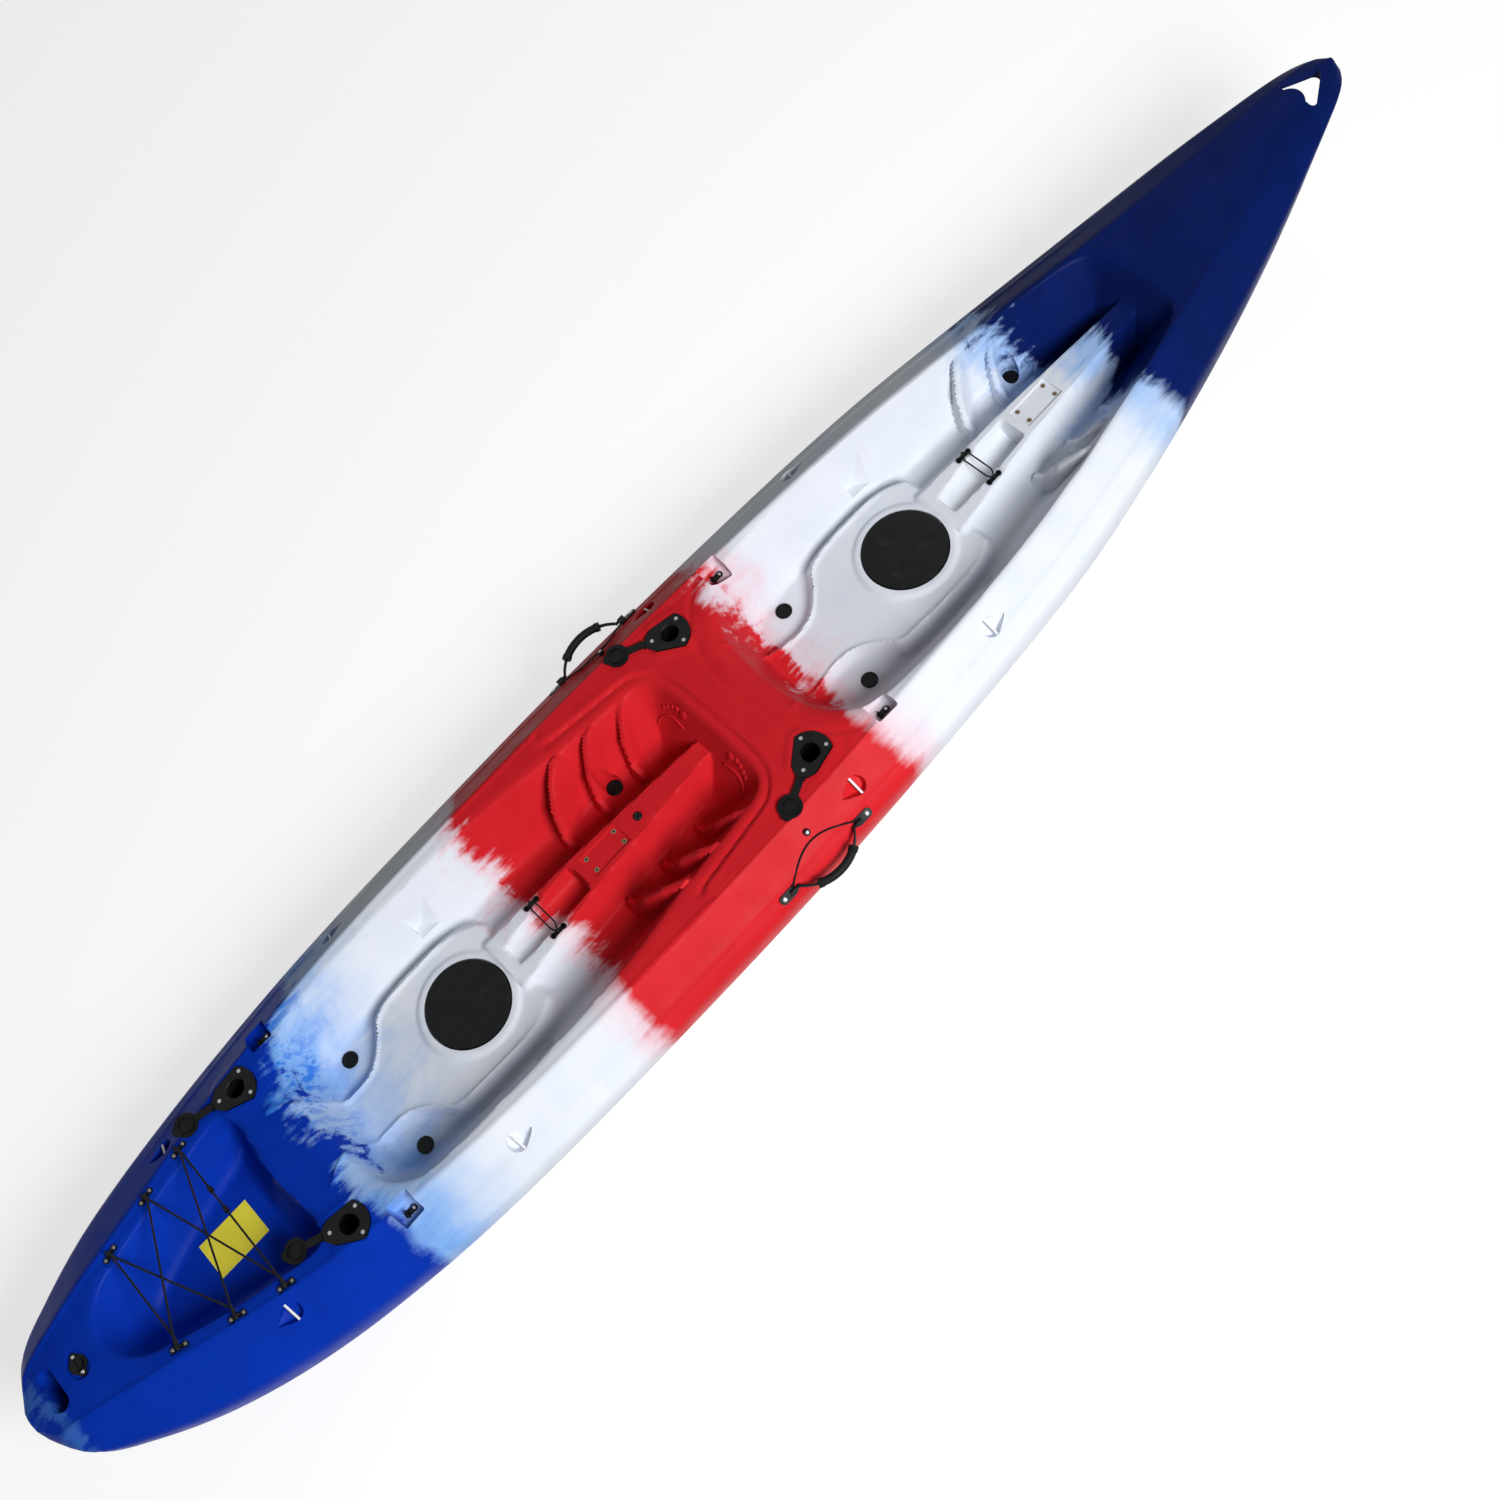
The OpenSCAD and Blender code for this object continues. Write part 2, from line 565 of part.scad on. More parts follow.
// Route of a cord round the arch of an eye, seen along the eye: low side, turn, high side
function arch_turn(r, low) = let (c = 2.8 + 9.1, q = r + 2.1 + 2 * clearance,
    pts = [[-16, -q], [-6, -q], [0, -q], [0.71 * q, -0.71 * q], [q, 0], [0.71 * q, 0.71 * q], [0, q],
        [-6, q], [-16, q]])
    [for (k = [0:8]) let (p = pts[low ? k : 8 - k]) [p[0], c + p[1]]];
function at_eye(e, s, p) = let (a = e[3])
    [e[0] * kx - sin(a) * p[0], s * (e[1] * ky + cos(a) * p[0]), deck_height + e[2] + p[1]];
function eye_route(i, s, low) = [for (p = arch_turn(tank_cord / 2, low)) at_eye(tank_eye[i], s, p)];
tank_route = concat(eye_route(0, 1, false), eye_route(0, -1, false), eye_route(1, 1, true),
    eye_route(2, -1, false), eye_route(2, 1, false), eye_route(1, -1, true));

module tank_cord_loop() {
    color([0.05, 0.05, 0.05]) tube(tank_route, tank_cord / 2, [1, 0, 0], true);
}

// Two clips that join the cord on its front span
module cord_clips() {
    a = tank_route[8];
    b = tank_route[9];
    d = b - a;
    color([0.08, 0.08, 0.08]) for (u = [0.30, 0.46]) translate(a + d * u)
        rotate([0, acos(d[2] / norm(d)), atan2(d[1], d[0])]) difference() {
            cylinder(r = tank_cord / 2 + 3.2, h = 15, center = true, $fn = 36);
            cylinder(r = tank_cord / 2 + 0.4, h = 20, center = true, $fn = 36);
        }
}

function console_route(c) = let (x = (console_eye[0] + c) * kx, z = console_z - 18, y = console_eye[1],
    turn = arch_turn(thin_cord / 2, true))
    concat([for (p = turn) [x - 9 * (p[0] < -10 ? 1 : 0), y + p[0], z + p[1]]],
    [for (k = [8:-1:0]) let (p = turn[k]) [x + 9 * (p[0] < -10 ? 1 : 0), -y - p[0], z + p[1]]]);

module console_cord(c) {
    color([0.05, 0.05, 0.05]) tube(console_route(c), thin_cord / 2, [1, 0, 0], true);
}

// Threaded inserts moulded into the console pads
module insert_places(c) {
    for (a = [-1, 1]) for (b = [-1, 1])
        translate([(insert_x + c) * kx + a * insert_spacing_x / 2, b * insert_spacing_y / 2, console_z - 2])
        children();
}

module inserts(c) {
    color([0.72, 0.55, 0.2]) insert_places(c) difference() {
        union() {
            translate([0, 0, -14]) cylinder(r = 4.8, h = 14.4, $fn = 36);
            translate([0, 0, 0.1]) cylinder(r = 6.2, h = 0.9, $fn = 36);
        }
        translate([0, 0, -15]) cylinder(r = insert_bore / 2, h = 20, $fn = 36);
    }
}

module gland_place() {
    translate([gland_x * kx, 0, console_z + 1]) children();
}

module cable_gland() {
    color([0.05, 0.05, 0.05]) gland_place() {
        translate([0, 0, -11]) cylinder(r1 = 5.6, r2 = 6.5, h = 12, $fn = 36);
        rotate_extrude($fn = 48)
            polygon([[0, clearance], [11, clearance], [11, 2], [9, 4], [6, 4.4], [4, 3.2], [0, 3]]);
    }
}

// Scupper plug: a soft flange on a tapered hollow stem
module plug(x, y) {
    color([0.06, 0.06, 0.06]) translate([x * kx, y * ky, seat_z]) rotate_extrude($fn = 60)
        polygon([[0, 0.6], [plug_r - 4.5, 0.6], [plug_r - 6, -34], [plug_r - 2.6, -36],
            [plug_r - wall_gap, -30], [plug_r - wall_gap + 0.2, clearance],
            [plug_r + 2.2, clearance], [plug_r + 2.2, 2.4],
            [plug_r + 0.8, 3.8], [plug_r - 4, 3.6], [plug_r - 7, 2.4], [0, 2.4]]);
}

module tie_bars() {
    color([0.92, 0.92, 0.9]) for (p = tie_at) tie_place(p) translate([2, 0, -4.5])
        rotate([90, 0, 0]) cylinder(r = bar_diameter / 2, h = 53, center = true, $fn = 32);
}

// Seat strap eye: a foot with one screw and a ring
module strap_places() {
    for (p = strap_at) mirrored() translate([p[0] * kx, p[1] * ky, deck_height - 43]) children();
}

module strap_eyes() {
    color([0.07, 0.07, 0.07]) strap_places() difference() {
        union() {
            translate([10, 0, clearance]) cylinder(r = 8, h = 4, $fn = 36);
            translate([-16, -7, clearance]) cube([26, 14, 3]);
            translate([-9, 0, 2.8]) rotate([90, 0, 90]) arch(9.1);
        }
        translate([10, 0, -1]) cylinder(r = 2.3, h = 10, $fn = 24);
    }
}

module strap_screws() {
    color([0.78, 0.78, 0.8]) strap_places() translate([10, 0, foot_top]) pan_screw(13);
}

// Drain: oval flange, sealing washer and slotted bung
module drain_place() {
    translate([drain_at[0] * kx, 0, deck_height + drain_at[1]]) children();
}

module drain_flange() {
    color([0.06, 0.06, 0.06]) drain_place() difference() {
        union() {
            translate([0, 0, clearance]) cylinder(r = 22, h = 4, $fn = 60);
            for (s = [-1, 1]) translate([0, 21 * s, clearance]) cylinder(r = 9.5, h = 4, $fn = 48);
            translate([0, 0, -18]) cylinder(r = drain_tube, h = 19, $fn = 60);
        }
        translate([0, 0, -20]) cylinder(r = drain_r, h = 40, $fn = 60);
        for (s = [-1, 1]) translate([0, 21 * s, -1]) cylinder(r = 2.3, h = 10, $fn = 24);
    }
}

module drain_washer() {
    color([0.14, 0.14, 0.14]) drain_place() translate([0, 0, foot_top + clearance]) difference() {
        cylinder(r = 14.5, h = 1.6, $fn = 60);
        translate([0, 0, -1]) cylinder(r = drain_r + 0.5, h = 4, $fn = 60);
    }
}

module drain_bung() {
    color([0.05, 0.05, 0.05]) drain_place() difference() {
        union() {
            translate([0, 0, -20]) cylinder(r = drain_r - clearance - 0.1, h = 27, $fn = 60);
            translate([0, 0, foot_top + 1.6 + 2 * clearance]) cylinder(r = drain_tube, h = 5, $fn = 60);
        }
        translate([0, 0, foot_top + 7]) cube([3, 22, 5], center = true);
        translate([0, 0, -24]) cylinder(r = 7, h = 26, $fn = 48);
    }
}

module drain_screws() {
    color([0.78, 0.78, 0.8]) drain_place() for (s = [-1, 1]) translate([0, 21 * s, foot_top]) pan_screw(13);
}

// Side handle: two anchors with sockets, a strap with round ends, a rubber grip
module handle_anchors(s) {
    color([0.06, 0.06, 0.06]) side(s) handle_frame() for (k = [0, 1]) {
        x = (anchor_x[k] - handle_x) * kx;
        translate([x, 0, seat_low + clearance]) mirror([k, 0, 0]) difference() {
            union() {
                translate([-14, -11, 0]) cube([28, 22, 4]);
                for (q = [-14, 14]) translate([q, 0, 0]) cylinder(r = 11, h = 4, $fn = 48);
                translate([-24, -6.5, 0]) cube([17, 13, 9]);
                translate([-24, 0, 9]) rotate([0, 90, 0]) cylinder(r = 6.5, h = 17, $fn = 48);
            }
            translate([-25, 0, 9]) rotate([0, 90, 0]) cylinder(r = socket_r, h = 13, $fn = 48);
            translate([12, 0, -1]) cylinder(r = 2.8, h = 10, $fn = 24);
        }
    }
}

// Frame of a handle: X along its pivots, Y outward and level with the water
module handle_at(s) {
    r = ridge_z(handle_x);
    c = crease_z(handle_x);
    a = atan2(r - c, shoulder(handle_x));
    y = half_beam(handle_x) - shoulder(handle_x) * (1 - anchor_t);
    side(s) translate([handle_x * kx, y + pivot_z * sin(a), mix(r, c, anchor_t) + pivot_z * cos(a)])
        children();
}

front_face = (anchor_x[0] - handle_x) * kx - 24;
rear_face = (anchor_x[1] - handle_x) * kx + 24;
bow_half = (front_face - rear_face) / 2 - 8;
bow_mid = (front_face + rear_face) / 2;
bow_r = (bow_half * bow_half + handle_reach * handle_reach) / (2 * handle_reach);
bow_angle = asin(bow_half / bow_r);

module bow_arc(angle) {
    translate([bow_mid, handle_reach - bow_r, 0]) rotate([0, 0, 90 - angle])
        rotate_extrude(angle = 2 * angle, $fn = 96) translate([bow_r, 0]) children();
}

module handle_strap(s) {
    color([0.07, 0.07, 0.07]) handle_at(s) {
        bow_arc(bow_angle) translate([-2, -4.5]) square([4, 9]);
        for (k = [-1, 1]) translate([bow_mid + k * (bow_half + 7.5), 0, 0]) rotate([0, 90, 0])
            cylinder(r = socket_r - clearance, h = 21, center = true, $fn = 48);
    }
}

module handle_grip(s) {
    g = grip_diameter / 2;
    color([0.1, 0.1, 0.1]) handle_at(s) difference() {
        union() {
            bow_arc(bow_angle * 0.55) circle(r = g, $fn = 40);
            for (a = [-1, 1]) translate([bow_mid, handle_reach - bow_r, 0])
                rotate([0, 0, 90 + a * bow_angle * 0.52 - 3]) rotate_extrude(angle = 6, $fn = 96)
                translate([bow_r, 0]) circle(r = g + 1.5, $fn = 40);
        }
        bow_arc(bow_angle * 0.7) translate([-2 - clearance, -4.5 - clearance])
            square([4 + 2 * clearance, 9 + 2 * clearance]);
    }
}

// Paddle keeper: an elastic cord from anchor to anchor over the shoulder, and its button
function keeper_point(u) = let (x = mix(rear_face, front_face, u), w = sin(180 * u))
    [x, -10 - 41 * w, 1.2 + thin_cord / 2];
keeper_route = concat([[rear_face - 7, -9, 1.2]], [for (k = [0:20]) keeper_point(k / 20)],
    [[front_face + 7, -9, 1.2]]);

module keeper_cord(s) {
    color([0.04, 0.04, 0.04]) side(s) handle_frame() tube(keeper_route, thin_cord / 2, [0, 0, 1]);
}

module keeper_buttons() {
    color([0.05, 0.05, 0.05]) mirrored() on_shoulder(-63, button_t) translate([0, 0, -1.3]) difference() {
        rotate_extrude($fn = 48)
            polygon([[0, 0], [5.5, 0], [5.5, 4], [8, 5.5], [8, 8.5], [6.5, 10], [0, 10]]);
        cylinder(r = 2.3, h = 30, center = true, $fn = 24);
    }
}

module side_screws() {
    color([0.8, 0.8, 0.82]) {
        mirrored() handle_frame() for (k = [0, 1])
            translate([(anchor_x[k] - handle_x) * kx + (k == 0 ? 12 : -12), 0, seat_low + foot_top]) {
                translate([0, 0, -13]) cylinder(r = 2.4, h = 14, $fn = 24);
                rotate_extrude($fn = 40)
                    polygon([[0, clearance], [6, clearance], [6, 1.4], [4.6, 2.8], [2.4, 3.5], [0, 3.7]]);
            }
        mirrored() on_shoulder(-63, button_t) translate([0, 0, 8.7]) pan_screw(22);
    }
}

module panel() {
    color([0.85, 0.8, 0.15]) translate([-1604 * kx, 15, tank_z + 0.5])
        cube([panel_length, 100, 0.6], center = true);
}

hull_shell();  // hull
hatch_ring(cockpit_x[0]);  // hatch_ring_front
hatch_ring(cockpit_x[1]);  // hatch_ring_rear
hatch_seal(cockpit_x[0]);  // hatch_seal_front
hatch_seal(cockpit_x[1]);  // hatch_seal_rear
hatch_cover(cockpit_x[0]);  // hatch_cover_front
hatch_cover(cockpit_x[1]);  // hatch_cover_rear
hatch_screws();
rod_holder(0, 1);  // rod_holder_front_left
rod_holder(0, -1);  // rod_holder_front_right
rod_holder(1, 1);  // rod_holder_rear_left
rod_holder(1, -1);  // rod_holder_rear_right
rod_cap(0, 1);  // rod_cap_front_left
rod_cap(0, -1);  // rod_cap_front_right
rod_cap(1, 1);  // rod_cap_rear_left
rod_cap(1, -1);  // rod_cap_rear_right
rod_screws();
tank_eye(0, 1);  // tank_eye_left_1
tank_eye(1, 1);  // tank_eye_left_2
tank_eye(2, 1);  // tank_eye_left_3
tank_eye(0, -1);  // tank_eye_right_1
tank_eye(1, -1);  // tank_eye_right_2
tank_eye(2, -1);  // tank_eye_right_3
tank_cord_loop();
cord_clips();
console_eyes(cockpit_x[0]);  // console_eyes_front
console_eyes(cockpit_x[1]);  // console_eyes_rear
console_cord(cockpit_x[0]);  // console_cord_front
console_cord(cockpit_x[1]);  // console_cord_rear
eye_screws();
inserts(cockpit_x[0]);  // inserts_front
inserts(cockpit_x[1]);  // inserts_rear
cable_gland();
plug(seat_plug[0], seat_plug[1]);  // plug_seat_front_left
plug(seat_plug[0], -seat_plug[1]);  // plug_seat_front_right
plug(seat_plug[0] + cockpit_x[1], seat_plug[1]);  // plug_seat_rear_left
plug(seat_plug[0] + cockpit_x[1], -seat_plug[1]);  // plug_seat_rear_right
plug(foot_plug[0][0], foot_plug[0][1]);  // plug_foot_front_left
plug(foot_plug[0][0], -foot_plug[0][1]);  // plug_foot_front_right
plug(foot_plug[1][0], foot_plug[1][1]);  // plug_foot_rear_left
plug(foot_plug[1][0], -foot_plug[1][1]);  // plug_foot_rear_right
tie_bars();
strap_eyes();
strap_screws();
drain_flange();
drain_washer();
drain_bung();
drain_screws();
handle_anchors(1);  // handle_anchors_left
handle_anchors(-1);  // handle_anchors_right
handle_strap(1);  // handle_strap_left
handle_strap(-1);  // handle_strap_right
handle_grip(1);  // handle_grip_left
handle_grip(-1);  // handle_grip_right
keeper_cord(1);  // keeper_cord_left
keeper_cord(-1);  // keeper_cord_right
keeper_buttons();
side_screws();
panel();
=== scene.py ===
"""Moulded tandem kayak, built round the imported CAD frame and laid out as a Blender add-on."""

import math

import bpy
import numpy as np
from mathutils import Matrix, Vector


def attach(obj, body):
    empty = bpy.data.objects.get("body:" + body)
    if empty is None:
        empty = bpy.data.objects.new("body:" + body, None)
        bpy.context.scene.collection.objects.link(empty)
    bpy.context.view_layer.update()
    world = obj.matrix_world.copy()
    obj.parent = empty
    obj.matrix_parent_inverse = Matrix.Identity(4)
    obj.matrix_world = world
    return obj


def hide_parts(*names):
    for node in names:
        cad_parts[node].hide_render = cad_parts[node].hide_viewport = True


bl_info = {
    "name": "Tandem Kayak",
    "version": (1, 0, 0),
    "blender": (4, 5, 0),
    "location": "3D View > Sidebar > Kayak",
    "description": "Moulds a tandem sit-on-top kayak and finishes its fittings",
    "category": "Add Mesh",
}

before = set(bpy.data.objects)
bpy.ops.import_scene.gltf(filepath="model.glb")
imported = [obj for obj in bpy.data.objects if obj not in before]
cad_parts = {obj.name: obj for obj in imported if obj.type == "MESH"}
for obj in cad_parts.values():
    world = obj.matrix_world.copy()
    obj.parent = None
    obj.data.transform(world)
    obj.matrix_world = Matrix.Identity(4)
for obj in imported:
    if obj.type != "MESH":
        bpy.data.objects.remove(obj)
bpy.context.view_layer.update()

# Hull lines as in the CAD hull: a place along it in millimetres, and there a measure in millimetres or,
# for the keel and the vee of the bottom, a share
DECK = 305
BEAM_LINE = [(-2150, 44), (-2100, 140), (-2000, 208), (-1830, 286), (-1600, 348), (-1300, 397),
             (-1000, 420), (-600, 429), (-100, 428), (400, 407), (800, 375), (1100, 328), (1400, 268),
             (1700, 196), (1950, 122), (2080, 78), (2130, 50), (2150, 24)]
CREASE_LINE = [(-2150, -2), (-2000, -25), (-1600, -72), (-1200, -95), (0, -93), (600, -80), (1100, -66),
               (1500, -34), (2000, 36), (2150, 45)]
RIDGE_LINE = [(-2150, 14), (-2060, 38), (-1900, 40), (-1650, 16), (-1400, 5), (-900, 3), (0, 3), (600, 3),
              (1100, 8), (1500, 26), (1800, 46), (2060, 66), (2150, 60)]
SHOULDER_LINE = [(-2150, 22), (-2050, 80), (-1800, 130), (-1400, 125), (-1000, 112), (0, 110), (800, 110),
                 (1300, 108), (1700, 90), (2000, 52), (2150, 13)]
KEEL_LINE = [(-2150, 0.72), (-2100, 0.42), (-2000, 0.16), (-1850, 0.04), (-1650, 0), (1000, 0),
             (1300, 0.04), (1600, 0.14), (1800, 0.31), (1950, 0.56), (2040, 0.78), (2150, 0.9)]
VEE_LINE = [(-2150, 1), (-1900, 0.5), (-1500, 0), (800, 0), (1300, 0.4), (1800, 0.9), (2150, 1)]

# Levels of the deck, in millimetres
SEAT_Z = 152
TANK_Z = 200
HATCH_Z = 200
CONSOLE_Z = 238

# Rims of the wells, port half, from the aft middle to the front middle, in millimetres
REAR_RIM = [(-1312, 0), (-1311, 90), (-1300, 165), (-1268, 222), (-1215, 258), (-1140, 276), (-1000, 282),
            (-814, 283), (-640, 279), (-506, 269), (-329, 244), (-140, 224), (-75, 214), (-42, 190),
            (-27, 150), (-23, 70), (-22, 0)]
FRONT_RIM = [(105, 0), (111, 80), (127, 146), (162, 205), (208, 248), (262, 271), (340, 281), (470, 283),
             (662, 277), (800, 264), (915, 249), (988, 239), (1138, 212), (1267, 188), (1385, 158),
             (1425, 138), (1445, 105), (1452, 50), (1453, 0)]
TANK_RIM = [(-1926, 0), (-1922, 28), (-1905, 66), (-1862, 104), (-1789, 132), (-1654, 170), (-1550, 192),
            (-1500, 203), (-1450, 207), (-1418, 185), (-1410, 140), (-1417, 80), (-1424, 0)]

# Middles of the hatches, front ends of the consoles and places of the foot braces, in millimetres
HATCH_X = (608, -867)
NOSE_X = (1420, -76)
STEP_X = (1185, 1069, 953, -208, -324, -440)
# Raised middle of a seat: forward from the hatch's middle, and the half width or the level there
RAISED_WIDTH = [(-470, 128), (-400, 84), (-330, 68), (-264, 76), (-211, 116), (-178, 154), (-128, 166),
                (0, 170), (90, 160), (150, 128)]
RAISED_LEVEL = [(-470, 172), (-330, 170), (-264, 174), (-211, 181), (-150, 189), (-115, 194), (150, 194)]
# Slope of a console, between two places forward of the hatch's middle, and the round trough in it
CONSOLE_SLOPE = (132, 387)
TROUGH_Z = 232
TROUGH_R = 40
# Crest of a foot brace: forward from its place, out from the boat's middle, and the height
STEP_CREST = [(112, 238, 304), (66, 200, 288), (26, 163, 250), (4, 130, 198), (0, 104, 175)]

# Places of the fittings that the deck is shaped for, in millimetres. Turns are in degrees, and a place on
# the shoulder is a share of the way from its ridge to its crease
ROD_AT = [(75, 239, 304, 154), (75, -239, 304, -154), (-1363, 221, 306, 171), (-1363, -221, 306, 158)]
ROD_LEAN = 10
SCUPPER_AT = [(318, 147), (-1157, 147), (1128, 146), (-272, 144)]
TANK_EYE = [(-1546, 215, 5, 11), (-1664, 186, 13, 15), (-1797, 142, 24, 19)]
TIE_AT = [(-1581, 0.30, -1), (-984, 0.43, 1), (87, 0.43, -1), (567, 0.43, 1)]
STRAP_AT = [(-1254, 286), (258, 282)]
NOTCH_AT = [(-814, 258), (662, 250)]
# Wedge of a wall notch: each corner ahead of its place, out from it, and its height
NOTCH_WEDGE = [(-26, -14, 188), (-4, -14, 188), (56, -68, 188), (-26, -68, 188),
               (-26, -4, 262), (50, -4, 262), (121, -68, 262), (-26, -68, 262)]
CONSOLE_EYE = (264, 50)
CONSOLE_EYE_Z = 220
INSERT_X = 470
INSERT_SPREAD = (45, 19)
GLAND_X = -289
DRAIN_AT = (-1986, 341)
ANCHOR_X = (51, -191)
HANDLE_X = -70
ANCHOR_T = 0.82
ANCHOR_HALF = 24
BUTTON_AT = (-63, 0.33)
STERN_SLOT_X = -2062

# Radii of the round cuts for the fittings, in millimetres
HATCH_SEAT_R = 109
HATCH_HOLE_R = 90.5
ROD_TUBE_R = 27.5
PLUG_TUBE_R = 18.5
PLUG_SEAT_R = 25
DRAIN_HOLE_R = 14.6

# Cord eye: thickness of its base, height of the arch's middle over that, radius of its bar, and slack
EYE_BASE = 2.8
EYE_ARCH = 9.1
EYE_BAR_R = 2.1
EYE_SLACK = 0.6

# Rounded edge of the deck: this far in from the side, and down to this far below the crease
EDGE_IN = 14
EDGE_BELOW = 40
# A hull with fewer faces than this was not closed when it was cut
FEWEST_FACES = 20000

# Turns a port-side shape into its starboard twin
MIRROR = Matrix.Diagonal((1, -1, 1, 1))


def colour(code):
    """Linear colour of an sRGB hex value."""
    parts = [int(code[i:i + 2], 16) / 255 for i in (1, 3, 5)]
    return tuple(p / 12.92 if p <= 0.04045 else ((p + 0.055) / 1.055) ** 2.4 for p in parts)


def curve(line, x):
    """Smooth curve through the points of a line, the same one that the CAD hull is drawn with."""
    px = np.array([p[0] for p in line], float)
    py = np.array([p[1] for p in line], float)
    low = np.maximum(np.arange(len(px)) - 1, 0)
    high = np.minimum(np.arange(len(px)) + 1, len(px) - 1)
    slope = (py[high] - py[low]) / (px[high] - px[low])
    i = np.clip(np.searchsorted(px, x, side="right") - 1, 0, len(px) - 2)
    h = px[i + 1] - px[i]
    u = np.clip((x - px[i]) / h, 0, 1)
    start = py[i] * (2 * u ** 3 - 3 * u ** 2 + 1) + h * slope[i] * (u ** 3 - 2 * u ** 2 + u)
    end = py[i + 1] * (3 * u ** 2 - 2 * u ** 3) + h * slope[i + 1] * (u ** 3 - u ** 2)
    return start + end


def straight(line, x):
    """Straight runs between the points of a line."""
    return np.interp(x, [p[0] for p in line], [p[1] for p in line])


def ease(low, high, x):
    """Rises smoothly from 0 to 1 between two values."""
    u = np.clip((x - low) / (high - low), 0, 1)
    return u * u * (3 - 2 * u)


def lower_of(a, b, width):
    """The lower of two surfaces, with the edge between them rounded over."""
    h = np.clip(0.5 + 0.5 * (b - a) / width, 0, 1)
    return b + (a - b) * h - width * h * (1 - h)


def higher_of(a, b, width):
    """The higher of two surfaces, with a fillet between them."""
    return -lower_of(-a, -b, width)


def half_beam(x):
    return curve(BEAM_LINE, x)


def crease_z(x):
    return DECK + curve(CREASE_LINE, x)


def ridge_z(x):
    return DECK + curve(RIDGE_LINE, x)


def shoulder(x):
    return curve(SHOULDER_LINE, x)


def closed_outline(half, parts=6):
    """Full outline from its port half, with each side drawn as a smooth curve."""
    reach = np.concatenate([[0], np.cumsum(np.hypot(*np.diff(np.array(half, float), axis=0).T))])
    fine = np.concatenate([np.linspace(reach[i], reach[i + 1], parts, endpoint=False)
                           for i in range(len(half) - 1)] + [reach[-1:]])
    x = curve([(s, p[0]) for s, p in zip(reach, half)], fine)
    y = np.maximum(curve([(s, p[1]) for s, p in zip(reach, half)], fine), 0)
    return np.concatenate([np.stack([x, y], 1), np.stack([x, -y], 1)[-2:0:-1]])


def outside(x, y, outline):
    """Distance outside a closed outline, which is negative inside it."""
    best = np.full(x.shape, 1e12)
    within = np.zeros(x.shape, bool)
    for (ax, ay), (bx, by) in zip(outline, np.roll(outline, -1, axis=0)):
        ex = bx - ax
        ey = by - ay
        t = np.clip(((x - ax) * ex + (y - ay) * ey) / max(ex * ex + ey * ey, 1e-9), 0, 1)
        best = np.minimum(best, (x - ax - t * ex) ** 2 + (y - ay - t * ey) ** 2)
        if ay != by:
            within ^= ((ay > y) != (by > y)) & (x < ex * (y - ay) / ey + ax)
    return np.where(within, -1, 1) * np.sqrt(best)


def sink(z, inside, floor, steep, roll, fillet):
    """Sinks a well into a surface: a rolled edge, a sloping wall and a floor with a fillet."""
    drop = np.where(inside < roll, 0.5 * inside, 0.5 * roll + steep * (inside - roll))
    wall = higher_of(z - drop, floor, fillet)
    return lower_of(z, wall, 9)


